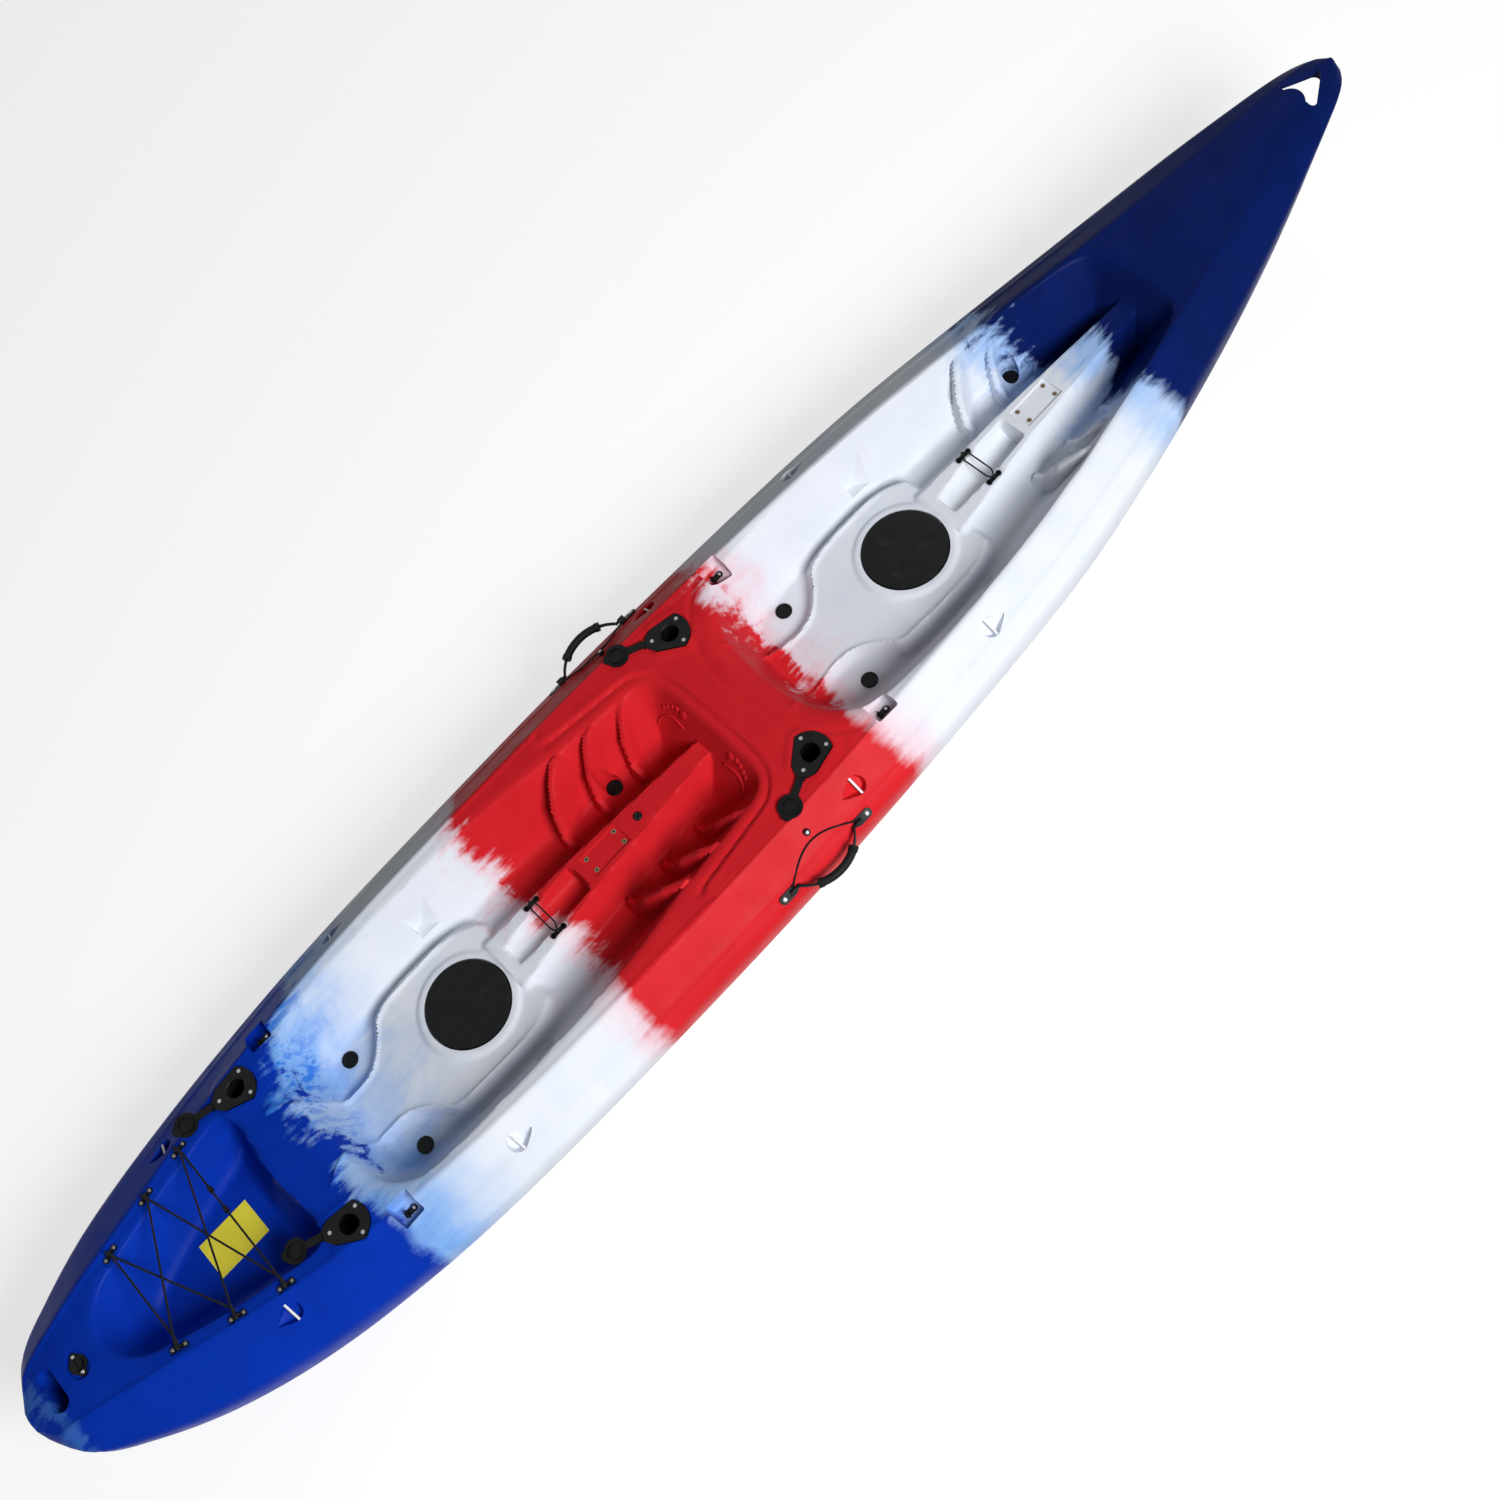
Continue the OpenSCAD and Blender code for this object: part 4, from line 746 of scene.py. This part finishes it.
    # Scuffed gloss in patches about 60 mm across
    gloss = add(tree, "ShaderNodeTexNoise", None, {"Vector": where, "Scale": 16.0, "Detail": 5.0})
    rough = add(tree, "ShaderNodeMapRange", None,
                {"Value": gloss.outputs["Fac"], 1: 0.3, 2: 0.7, 3: look.gloss - 0.05, 4: look.gloss + 0.09})
    tree.links.new(rough.outputs[0], shader.inputs["Roughness"])
    # Orange peel about 6 mm across, drawn coarser than the real 2 mm so that it shows
    peel = add(tree, "ShaderNodeTexNoise", None, {"Vector": where, "Scale": 160.0, "Detail": 2.0})
    bump = add(tree, "ShaderNodeBump", None,
               {"Strength": 0.12, "Distance": 0.001, "Height": peel.outputs["Fac"]})
    tree.links.new(bump.outputs[0], shader.inputs["Normal"])
    return material


def moulded_material(name, base, worn, rough, grain_mm, depth_mm):
    """Moulded plastic or rubber: a fine spark-eroded grain, with paler handling wear in soft patches."""
    material, tree, shader = start_material(name, {"IOR": 1.5, "Specular IOR Level": 0.14})
    where = add(tree, "ShaderNodeTexCoord").outputs["Object"]
    wear = add(tree, "ShaderNodeTexNoise", None, {"Vector": where, "Scale": 38.0, "Detail": 5.0})
    share = add(tree, "ShaderNodeMapRange", SMOOTH, {"Value": wear.outputs["Fac"], 1: 0.45, 2: 0.75})
    tint = add(tree, "ShaderNodeMix", IN_COLOUR, {0: share.outputs[0], 6: rgba(base), 7: rgba(worn)})
    tree.links.new(tint.outputs[2], shader.inputs["Base Color"])
    sheen = add(tree, "ShaderNodeMapRange", None,
                {"Value": wear.outputs["Fac"], 1: 0.3, 2: 0.7, 3: rough - 0.06, 4: rough + 0.1})
    tree.links.new(sheen.outputs[0], shader.inputs["Roughness"])
    grain = add(tree, "ShaderNodeTexNoise", None,
                {"Vector": where, "Scale": 1000.0 / grain_mm, "Detail": 2.0})
    bump = add(tree, "ShaderNodeBump", None,
               {"Strength": 0.35, "Distance": depth_mm / 1000, "Height": grain.outputs["Fac"]})
    tree.links.new(bump.outputs[0], shader.inputs["Normal"])
    return material


def metal_material(name, base, dull, rough, black=None, black_ahead=0.0):
    """Bare turned metal with water marks and fine scratches, or a black coat ahead of a place."""
    material, tree, shader = start_material(name, {"Metallic": 1.0})
    where = add(tree, "ShaderNodeTexCoord").outputs["Object"]
    marks = add(tree, "ShaderNodeTexNoise", None, {"Vector": where, "Scale": 220.0, "Detail": 4.0})
    tint = add(tree, "ShaderNodeMix", IN_COLOUR, {0: marks.outputs["Fac"], 6: rgba(base), 7: rgba(dull)})
    if black:
        axes = add(tree, "ShaderNodeSeparateXYZ", None, {0: where})
        ahead = add(tree, "ShaderNodeMath", {"operation": "GREATER_THAN"},
                    {0: axes.outputs["X"], 1: black_ahead})
        tint = add(tree, "ShaderNodeMix", IN_COLOUR,
                   {0: ahead.outputs[0], 6: tint.outputs[2], 7: rgba(black)})
    tree.links.new(tint.outputs[2], shader.inputs["Base Color"])
    sheen = add(tree, "ShaderNodeMapRange", None,
                {"Value": marks.outputs["Fac"], 1: 0.3, 2: 0.7, 3: rough - 0.06, 4: rough + 0.12})
    tree.links.new(sheen.outputs[0], shader.inputs["Roughness"])
    scratch = add(tree, "ShaderNodeTexNoise", None, {"Vector": where, "Scale": 1400.0, "Detail": 1.0})
    bump = add(tree, "ShaderNodeBump", None,
               {"Strength": 0.2, "Distance": 0.0002, "Height": scratch.outputs["Fac"]})
    tree.links.new(bump.outputs[0], shader.inputs["Normal"])
    return material


def cord_material(base, fleck):
    """Elastic cord in a braided polyester sleeve, which follows the cord on its own UV map."""
    # Two sets of yarn cross at a slant; each yarn is drawn 2 mm wide so that the braid shows
    material, tree, shader = start_material(
        "braided_elastic_cord",
        {"Roughness": 0.75, "Sheen Weight": 0.08, "IOR": 1.5, "Specular IOR Level": 0.1})
    lay = add(tree, "ShaderNodeUVMap", {"uv_map": "lay"}).outputs[0]
    axes = add(tree, "ShaderNodeSeparateXYZ", None, {0: lay})
    crossing = []
    for slant in (1, -1):
        turn = add(tree, "ShaderNodeMath", {"operation": "MULTIPLY_ADD"},
                   {0: axes.outputs["X"], 1: slant * 8 * math.pi, 2: 0.0})
        phase = add(tree, "ShaderNodeMath", {"operation": "MULTIPLY_ADD"},
                    {0: axes.outputs["Y"], 1: 1500.0, 2: turn.outputs[0]})
        yarn = add(tree, "ShaderNodeMath", {"operation": "SINE"}, {0: phase.outputs[0]})
        crossing.append(yarn.outputs[0])
    weave = add(tree, "ShaderNodeMath", {"operation": "MAXIMUM"}, {0: crossing[0], 1: crossing[1]})
    where = add(tree, "ShaderNodeTexCoord").outputs["Object"]
    dust = add(tree, "ShaderNodeTexNoise", None, {"Vector": where, "Scale": 90.0, "Detail": 4.0})
    share = add(tree, "ShaderNodeMapRange", None,
                {"Value": dust.outputs["Fac"], 1: 0.4, 2: 0.8, 3: 0.0, 4: 0.8})
    tint = add(tree, "ShaderNodeMix", IN_COLOUR, {0: share.outputs[0], 6: rgba(base), 7: rgba(fleck)})
    tree.links.new(tint.outputs[2], shader.inputs["Base Color"])
    bump = add(tree, "ShaderNodeBump", None,
               {"Strength": 0.7, "Distance": 0.0005, "Height": weave.outputs[0]})
    tree.links.new(bump.outputs[0], shader.inputs["Normal"])
    return material


def vinyl_material(base, faded):
    """Plain vinyl panel: even colour that the sun has paled in patches, with a slight ripple."""
    material, tree, shader = start_material("yellow_vinyl", {"Roughness": 0.38, "IOR": 1.52})
    where = add(tree, "ShaderNodeTexCoord").outputs["Object"]
    fade = add(tree, "ShaderNodeTexNoise", None, {"Vector": where, "Scale": 26.0, "Detail": 5.0})
    tint = add(tree, "ShaderNodeMix", IN_COLOUR, {0: fade.outputs["Fac"], 6: rgba(base), 7: rgba(faded)})
    tree.links.new(tint.outputs[2], shader.inputs["Base Color"])
    bump = add(tree, "ShaderNodeBump", None,
               {"Strength": 0.25, "Distance": 0.001, "Height": fade.outputs["Fac"]})
    tree.links.new(bump.outputs[0], shader.inputs["Normal"])
    return material


def dress(names, material):
    """Gives CAD nodes a finish in place of their packed one."""
    for name in names:
        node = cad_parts[name]
        node.data.materials.clear()
        node.data.materials.append(material)


def nodes_named(*starts):
    """CAD nodes whose names start with one of these words."""
    return sorted(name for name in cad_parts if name.startswith(starts))


def cord_tube(name, route, radius, closed, sides=12):
    """Round cord along a route in millimetres, with a UV map that runs round and along it."""
    route = np.array(route, float) / 1000
    if closed:
        route = np.concatenate([route, route[:1]])
    reach = np.concatenate([[0], np.cumsum(np.linalg.norm(np.diff(route, axis=0), axis=1))])
    count = max(int(reach[-1] / 0.004), len(route))
    fine = np.unique(np.concatenate([np.linspace(0, reach[-1], count), reach]))
    path = np.stack([np.interp(fine, reach, route[:, k]) for k in range(3)], 1)
    if closed:
        path = path[:-1]
    rows = len(path)
    ahead = np.roll(path, -1, axis=0) - path
    behind = path - np.roll(path, 1, axis=0)
    if not closed:
        ahead[-1] = behind[-1]
        behind[0] = ahead[0]
    run = ahead / np.linalg.norm(ahead, axis=1)[:, None] + behind / np.linalg.norm(behind, axis=1)[:, None]
    run = run / np.linalg.norm(run, axis=1)[:, None]
    aside = np.array([1.0, 0.0, 0.0]) if closed else np.array([0.0, 0.0, 1.0])
    out = aside - run * (run @ aside)[:, None]
    out = out / np.linalg.norm(out, axis=1)[:, None]
    over = np.cross(run, out)
    turn = 2 * np.pi * np.arange(sides) / sides
    skin = path[:, None] + radius / 1000 * (out[:, None] * np.cos(turn)[None, :, None]
                                            + over[:, None] * np.sin(turn)[None, :, None])
    points = skin.reshape(-1, 3)
    faces = []
    lay = []
    last = rows if closed else rows - 1
    length = np.concatenate([fine, [fine[-1] + 0.004]])
    for i in range(last):
        for k in range(sides):
            n = (k + 1) % sides
            j = (i + 1) % rows
            faces.append([i * sides + k, i * sides + n, j * sides + n, j * sides + k])
            lay += [(k / sides, length[i]), ((k + 1) / sides, length[i]),
                    ((k + 1) / sides, length[i + 1]), (k / sides, length[i + 1])]
    if not closed:
        faces.append(list(range(sides))[::-1])
        faces.append([(rows - 1) * sides + k for k in range(sides)])
        lay += [(0, 0)] * (2 * sides)
    piece = new_piece(name, points, faces)
    layer = piece.data.uv_layers.new(name="lay")
    layer.data.foreach_set("uv", np.array(lay, float).ravel())
    pick(piece)
    bpy.ops.object.shade_smooth()
    return piece


def arch_turn(radius, low_first):
    """Route of a cord round the arch of an eye, seen along the eye, in millimetres."""
    middle = EYE_BASE + EYE_ARCH
    q = radius + EYE_BAR_R + EYE_SLACK
    points = [(-16, -q), (-6, -q), (0, -q), (0.71 * q, -0.71 * q), (q, 0), (0.71 * q, 0.71 * q), (0, q),
              (-6, q), (-16, q)]
    points = points if low_first else points[::-1]
    return [(y, middle + z) for y, z in points]


def tank_route(radius):
    """Lacing of the tankwell, from eye to eye and back, in millimetres."""
    route = []
    visits = [(0, 1, False), (0, -1, False), (1, 1, True), (2, -1, False), (2, 1, False), (1, -1, True)]
    for i, side, low in visits:
        x, y, rise, turn = TANK_EYE[i]
        slant = math.radians(turn)
        for reach, up in arch_turn(radius, low):
            out = y + math.cos(slant) * reach
            route.append((x - math.sin(slant) * reach, side * out, DECK + rise + up))
    return route


def console_route(radius, hatch):
    """Loop across a console trough, through its two eyes, in millimetres."""
    x = hatch + CONSOLE_EYE[0]
    turn = arch_turn(radius, True)
    # The lower strand runs 9 mm aft of the eyes' middle, and the upper one 9 mm ahead of it
    lean = [-9, -5, 0, 0, 0, 0, 0, 5, 9]
    near = [(x + ahead, CONSOLE_EYE[1] + y, CONSOLE_EYE_Z + z) for ahead, (y, z) in zip(lean, turn)]
    return near + [(ahead, -y, z) for ahead, y, z in reversed(near)]


def keeper_route(radius, side):
    """Paddle keeper over the shoulder, from one handle anchor to the other, in millimetres."""
    front_face = ANCHOR_X[0] - HANDLE_X - ANCHOR_HALF
    rear_face = ANCHOR_X[1] - HANDLE_X + ANCHOR_HALF
    local = [(rear_face - 7, -9, 1.2)]
    for k in range(41):
        u = k / 40
        bow_out = -10 - 41 * math.sin(math.pi * u)
        local.append((rear_face + (front_face - rear_face) * u, bow_out, 1.2 + radius))
    local.append((front_face + 7, -9, 1.2))
    face = on_shoulder(HANDLE_X, ANCHOR_T, side)
    return [tuple(1000 * (face @ Vector([v / 1000 for v in p]))) for p in local]


def foot_marks():
    """Plain raised footprints on the front wall of the rear footwell: five toes and the edge of a sole."""
    def on_wall(x, y):
        return float(shape_deck(np.array([[x]], float), np.array([[y]], float))[0, 0])

    toes = [(-47, 82, 12), (-45, 104, 7), (-48, 118, 6.5), (-53, 131, 6), (-59, 142, 5.5)]
    sole = [(-66, 70), (-64, 88), (-63, 106), (-66, 124), (-73, 138), (-82, 146), (-93, 149)]
    marks = []
    for side in (1, -1):
        for x, y, size in toes:
            here = on_wall(x, side * y)
            slope_x = (on_wall(x + 4, side * y) - on_wall(x - 4, side * y)) / 8
            slope_y = (on_wall(x, side * y + 4) - on_wall(x, side * y - 4)) / 8
            face = Vector((-slope_x, -slope_y, 1)).to_track_quat("Z", "X").to_matrix().to_4x4()
            bpy.ops.object.select_all(action="DESELECT")
            bpy.ops.mesh.primitive_uv_sphere_add(segments=24, ring_count=12, radius=1)
            toe = bpy.context.active_object
            swell = Matrix.Diagonal((size / 1000, size / 1000, 0.0035, 1))
            place(toe, shift(x, side * y, here) @ face @ swell)
            marks.append(toe)
        route = [(x, side * y, on_wall(x, side * y)) for x, y in sole]
        marks.append(cord_tube("sole", route, 3.2, False))
    bpy.ops.object.select_all(action="DESELECT")
    for mark in marks:
        mark.select_set(True)
    bpy.context.view_layer.objects.active = marks[0]
    bpy.ops.object.join()
    bpy.ops.object.shade_smooth()
    marks[0].name = "foot_marks"
    return marks[0]


def colour_setting(label, meaning, code):
    """Colour that a user can change, with an sRGB hex value as its default."""
    return bpy.props.FloatVectorProperty(
        name=label, description=meaning, subtype="COLOR", default=colour(code))


class KayakHullLook(bpy.types.PropertyGroup):
    """Colours and finish of the moulded hull"""

    stern_blue: colour_setting("Stern blue", "Colour of the stern", "#0938B6")
    stern_shade: colour_setting("Stern shade", "Darker mottle of the stern", "#072D9A")
    # Painted highlight: paler blue over the very end of the stern
    stern_painted_highlight: colour_setting("Stern tip", "Paler end of the stern", "#3E70C4")
    # The bow's blues are its own colour, set darker than the stern's as painted shade because the foredeck
    # lies darker in the light
    bow_blue_painted_shade: colour_setting("Bow blue", "Colour of the bow", "#0A1F66")
    bow_shade: colour_setting("Bow shade", "Darker mottle of the bow", "#071645")
    # The grey-blue of the white and its mottle is partly a painted reflection of the sky
    white: colour_setting("White", "Colour of the two light fields", "#E6E9EF")
    white_shade: colour_setting("White shade", "Mottle of the light fields", "#D3DAE6")
    red: colour_setting("Red", "Colour of the middle", "#D6262D")
    red_shade: colour_setting("Red shade", "Darker mottle of the middle", "#BE1D26")
    blue_wash: colour_setting("Blue wash", "Thin blue over the white", "#77AAE8")
    blue_stroke: colour_setting("Blue stroke", "Brush marks by the stern colour", "#2674DC")
    red_wash: colour_setting("Red wash", "Thin red over the white", "#E98A9A")
    gloss: bpy.props.FloatProperty(
        name="Roughness", description="Roughness of the satin skin", default=0.33, min=0.1, max=0.8)
    grid: bpy.props.FloatProperty(
        name="Grid", description="Spacing of the deck's mesh in the cockpits", default=0.0063, min=0.004,
        max=0.02, unit="LENGTH")


class KayakFittingLook(bpy.types.PropertyGroup):
    """Colours of the fittings"""

    plastic: colour_setting("Plastic", "Moulded fittings", "#08090A")
    plastic_worn: colour_setting("Worn plastic", "Handled edges of the fittings", "#101113")
    rubber: colour_setting("Rubber", "Plugs, caps, seals and grips", "#060707")
    rubber_worn: colour_setting("Worn rubber", "Chalky patches of the rubber", "#0E0F10")
    steel: colour_setting("Steel", "Stainless screws", "#A6A8AA")
    dull_steel: colour_setting("Dull steel", "Small screws of the cord eyes", "#707172")
    brass: colour_setting("Brass", "Threaded inserts", "#7C7260")
    bar: colour_setting("Bar", "Coated tie-down bars", "#ECEDEF")
    panel: colour_setting("Panel", "Plain panel in the tankwell", "#F2E437")


class KayakCordSizes(bpy.types.PropertyGroup):
    """Sizes and colour of the elastic cords"""

    tank: bpy.props.FloatProperty(
        name="Tankwell cord", description="Diameter of the tankwell lacing", default=0.005, unit="LENGTH")
    thin: bpy.props.FloatProperty(
        name="Thin cord", description="Diameter of the console and keeper cords",
        default=0.004, unit="LENGTH")
    sleeve: colour_setting("Sleeve", "Colour of the braided sleeve", "#0B0C0E")
    fleck: colour_setting("Fleck", "Dusty yarns of the sleeve", "#1E2024")


class KayakStage(bpy.types.PropertyGroup):
    """Camera, floor and light"""

    lens: bpy.props.FloatProperty(
        name="Lens", description="Focal length in millimetres", default=45.64, min=10, max=200)
    camera: bpy.props.FloatVectorProperty(
        name="Camera", description="Place of the camera", subtype="TRANSLATION", unit="LENGTH",
        default=(-0.4601, -2.0779, 4.1126))
    floor: colour_setting("Floor", "Colour of the floor", "#A8A8A8")
    floor_lift: bpy.props.FloatProperty(
        name="Floor lift", description="How far the floor is lifted to white", default=0.70, min=0, max=1)
    key: bpy.props.FloatProperty(
        name="Key light", description="Power of the large soft light in watts", default=395, min=0,
        max=2000)
    fill: bpy.props.FloatProperty(
        name="Fill light", description="Strength of the light from all round", default=0.09, min=0, max=5)


class KAYAK_OT_stage(bpy.types.Operator):
    """Pale floor, soft light and the camera"""

    bl_idname = "kayak.stage"
    bl_label = "Set the Stage"

    def execute(self, context):
        look = context.scene.kayak_stage
        context.scene.view_settings.view_transform = "Standard"
        world = context.scene.world or bpy.data.worlds.new("studio")
        context.scene.world = world
        world.use_nodes = True
        tree = world.node_tree
        tree.nodes.clear()
        soft = add(tree, "ShaderNodeBackground", None,
                   {"Color": (0.93, 0.96, 1, 1), "Strength": look.fill})
        white = add(tree, "ShaderNodeBackground", None, {"Color": (1, 1, 1, 1), "Strength": 1.0})
        both = add(tree, "ShaderNodeMixShader", None,
                   {0: seen_straight(tree), 1: soft.outputs[0], 2: white.outputs[0]})
        add(tree, "ShaderNodeOutputWorld", None, {"Surface": both.outputs[0]})

        bpy.ops.object.select_all(action="DESELECT")
        bpy.ops.mesh.primitive_plane_add(size=60, location=(0, 0, -0.001))
        floor = context.active_object
        floor.name = "floor"
        place(floor, Matrix.Translation(floor.location))
        material, tree, shader = start_material(
            "pale_floor",
            {"Base Color": rgba(look.floor), "Roughness": 0.9, "Emission Color": (1, 1, 1, 1)})
        # Seen straight or in a reflection the floor is near white, and it keeps the shadow
        lift = add(tree, "ShaderNodeMath", {"operation": "MULTIPLY"},
                   {0: seen_straight(tree), 1: look.floor_lift})
        tree.links.new(lift.outputs[0], shader.inputs["Emission Strength"])
        floor.data.materials.append(material)

        for name, place_at, aim, size, power in (
                ("key_light", (0.5, -4.6, 4.0), (0, 0, 0.2), 2.8, look.key),
                ("bow_light", (3.6, 2.2, 3.6), (0.4, 0, 0.2), 2.6, look.key * 0.05)):
            lamp = bpy.data.lights.new(name, "AREA")
            lamp.shape = "DISK"
            lamp.size = size
            lamp.energy = power
            light = bpy.data.objects.new(name, lamp)
            light.location = place_at
            light.rotation_euler = (Vector(aim) - Vector(place_at)).to_track_quat("-Z", "Y").to_euler()
            context.scene.collection.objects.link(light)

        data = bpy.data.cameras.new("camera")
        data.sensor_width = 36
        data.lens = look.lens
        camera = bpy.data.objects.new("camera", data)
        context.scene.collection.objects.link(camera)
        right = Vector((0.68825, -0.67537, -0.26494))
        up = Vector((0.71788, 0.58132, 0.38302))
        back = Vector((-0.10467, -0.45381, 0.88493))
        turn = Matrix((right, up, back)).transposed()
        camera.matrix_world = Matrix.Translation(look.camera) @ turn.to_4x4()
        context.scene.camera = camera
        return {"FINISHED"}


class KAYAK_OT_hull(bpy.types.Operator):
    """Moulds the hull: deck with its wells, bottom, holes and pockets"""

    bl_idname = "kayak.hull"
    bl_label = "Mould the Hull"

    def execute(self, context):
        look = context.scene.kayak_hull
        stations = hull_stations(look.grid * 1000)
        inner = np.linspace(0, 1, 60)
        outer = np.array([0.04, 0.09, 0.16, 0.26, 0.38, 0.5, 0.58, 0.63, 0.68, 0.76, 0.86, 0.94, 1])
        points, faces = hull_points_and_faces(stations, inner, outer)
        hull = new_piece("moulded_hull", points, faces)
        soften_edge(hull, len(stations), 2 * (len(inner) + len(outer)) - 1)
        cut_away(hull, list(hull_cutters()))
        bpy.ops.object.shade_smooth_by_angle(angle=math.radians(38))
        hull.data.materials.clear()
        hull.data.materials.append(hull_material(look))
        marks = foot_marks()
        marks.data.materials.clear()
        marks.data.materials.append(hull.data.materials[0])
        for piece in (hull, marks):
            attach(piece, "hull")
        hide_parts("hull")
        return {"FINISHED"}


class KAYAK_OT_cords(bpy.types.Operator):
    """Runs the elastic cords through their eyes"""

    bl_idname = "kayak.cords"
    bl_label = "Run the Cords"

    def execute(self, context):
        sizes = context.scene.kayak_cords
        material = cord_material(sizes.sleeve, sizes.fleck)
        tank = sizes.tank * 500
        thin = sizes.thin * 500
        runs = [("tank_lacing", tank_route(tank), tank, True, "tank_cord_loop"),
                ("console_loop_front", console_route(thin, HATCH_X[0]), thin, True, "console_cord_front"),
                ("console_loop_rear", console_route(thin, HATCH_X[1]), thin, True, "console_cord_rear"),
                ("paddle_keeper_left", keeper_route(thin, 1), thin, False, "keeper_cord_left"),
                ("paddle_keeper_right", keeper_route(thin, -1), thin, False, "keeper_cord_right")]
        for name, route, radius, closed, node in runs:
            cord = cord_tube(name, route, radius, closed)
            cord.data.materials.append(material)
            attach(cord, "hull")
            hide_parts(node)
        return {"FINISHED"}


class KAYAK_OT_plastic(bpy.types.Operator):
    """Finishes the black moulded fittings"""

    bl_idname = "kayak.plastic"
    bl_label = "Finish the Plastic"

    def execute(self, context):
        look = context.scene.kayak_fittings
        nylon = moulded_material("moulded_nylon", look.plastic, look.plastic_worn, 0.42, 2.2, 0.25)
        dress(nodes_named("rod_holder_", "tank_eye_", "console_eyes_", "cord_clips", "drain_flange",
                          "drain_bung", "handle_anchors_", "hatch_ring_", "hatch_cover_",
                          "keeper_buttons", "strap_eyes", "cable_gland"), nylon)
        return {"FINISHED"}


class KAYAK_OT_rubber(bpy.types.Operator):
    """Finishes the rubber plugs, caps, seals, washer and handles"""

    bl_idname = "kayak.rubber"
    bl_label = "Finish the Rubber"

    def execute(self, context):
        look = context.scene.kayak_fittings
        rubber = moulded_material("moulded_rubber", look.rubber, look.rubber_worn, 0.55, 3.0, 0.3)
        dress(nodes_named("rod_cap_", "hatch_seal_", "plug_", "drain_washer", "handle_strap_",
                          "handle_grip_"),
              rubber)
        return {"FINISHED"}


class KAYAK_OT_metal(bpy.types.Operator):
    """Finishes the stainless screws and the brass inserts"""

    bl_idname = "kayak.metal"
    bl_label = "Finish the Metal"

    def execute(self, context):
        look = context.scene.kayak_fittings
        steel = metal_material("stainless_steel", look.steel, [0.75 * v for v in look.steel], 0.26)
        dress([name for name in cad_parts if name.endswith("_screws")], steel)
        # The small screws of the cord eyes are duller, and those on the consoles are black
        grey = metal_material("dull_stainless_steel", look.dull_steel, [0.7 * v for v in look.dull_steel],
                              0.4, list(look.plastic), -1.2)
        dress(["eye_screws"], grey)
        brass = metal_material("turned_brass", look.brass, [0.7 * v for v in look.brass], 0.3)
        dress(nodes_named("inserts_"), brass)
        return {"FINISHED"}


class KAYAK_OT_bars_and_panel(bpy.types.Operator):
    """Finishes the coated tie-down bars and the plain panel"""

    bl_idname = "kayak.bars_and_panel"
    bl_label = "Finish the Bars and Panel"

    def execute(self, context):
        look = context.scene.kayak_fittings
        worn = [0.86 * v for v in look.bar]
        coating = moulded_material("powder_coated_steel", look.bar, worn, 0.4, 1.5, 0.1)
        dress(nodes_named("tie_bars"), coating)
        dress(nodes_named("panel"), vinyl_material(look.panel, [0.88 * v for v in look.panel]))
        return {"FINISHED"}


class KAYAK_PT_sidebar(bpy.types.Panel):
    """Lists what builds the kayak"""

    bl_idname = "KAYAK_PT_sidebar"
    bl_label = "Tandem Kayak"
    bl_space_type = "VIEW_3D"
    bl_region_type = "UI"
    bl_category = "Kayak"

    def draw(self, context):
        for name in ("stage", "hull", "cords", "plastic", "rubber", "metal", "bars_and_panel"):
            self.layout.operator("kayak." + name)
        for group in ("kayak_hull", "kayak_fittings", "kayak_cords", "kayak_stage"):
            settings = getattr(context.scene, group)
            box = self.layout.box()
            for key in settings.__annotations__:
                box.prop(settings, key)


CLASSES = (KayakHullLook, KayakFittingLook, KayakCordSizes, KayakStage, KAYAK_OT_stage, KAYAK_OT_hull,
           KAYAK_OT_cords, KAYAK_OT_plastic, KAYAK_OT_rubber, KAYAK_OT_metal, KAYAK_OT_bars_and_panel,
           KAYAK_PT_sidebar)


def register():
    for kind in CLASSES:
        bpy.utils.register_class(kind)
    bpy.types.Scene.kayak_hull = bpy.props.PointerProperty(type=KayakHullLook)
    bpy.types.Scene.kayak_fittings = bpy.props.PointerProperty(type=KayakFittingLook)
    bpy.types.Scene.kayak_cords = bpy.props.PointerProperty(type=KayakCordSizes)
    bpy.types.Scene.kayak_stage = bpy.props.PointerProperty(type=KayakStage)


def unregister():
    del bpy.types.Scene.kayak_stage
    del bpy.types.Scene.kayak_cords
    del bpy.types.Scene.kayak_fittings
    del bpy.types.Scene.kayak_hull
    for kind in reversed(CLASSES):
        bpy.utils.unregister_class(kind)


def main():
    register()
    bpy.ops.kayak.stage()
    bpy.ops.kayak.hull()
    bpy.ops.kayak.cords()
    bpy.ops.kayak.plastic()
    bpy.ops.kayak.rubber()
    bpy.ops.kayak.metal()
    bpy.ops.kayak.bars_and_panel()
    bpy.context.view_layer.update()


if __name__ == "__main__":
    main()
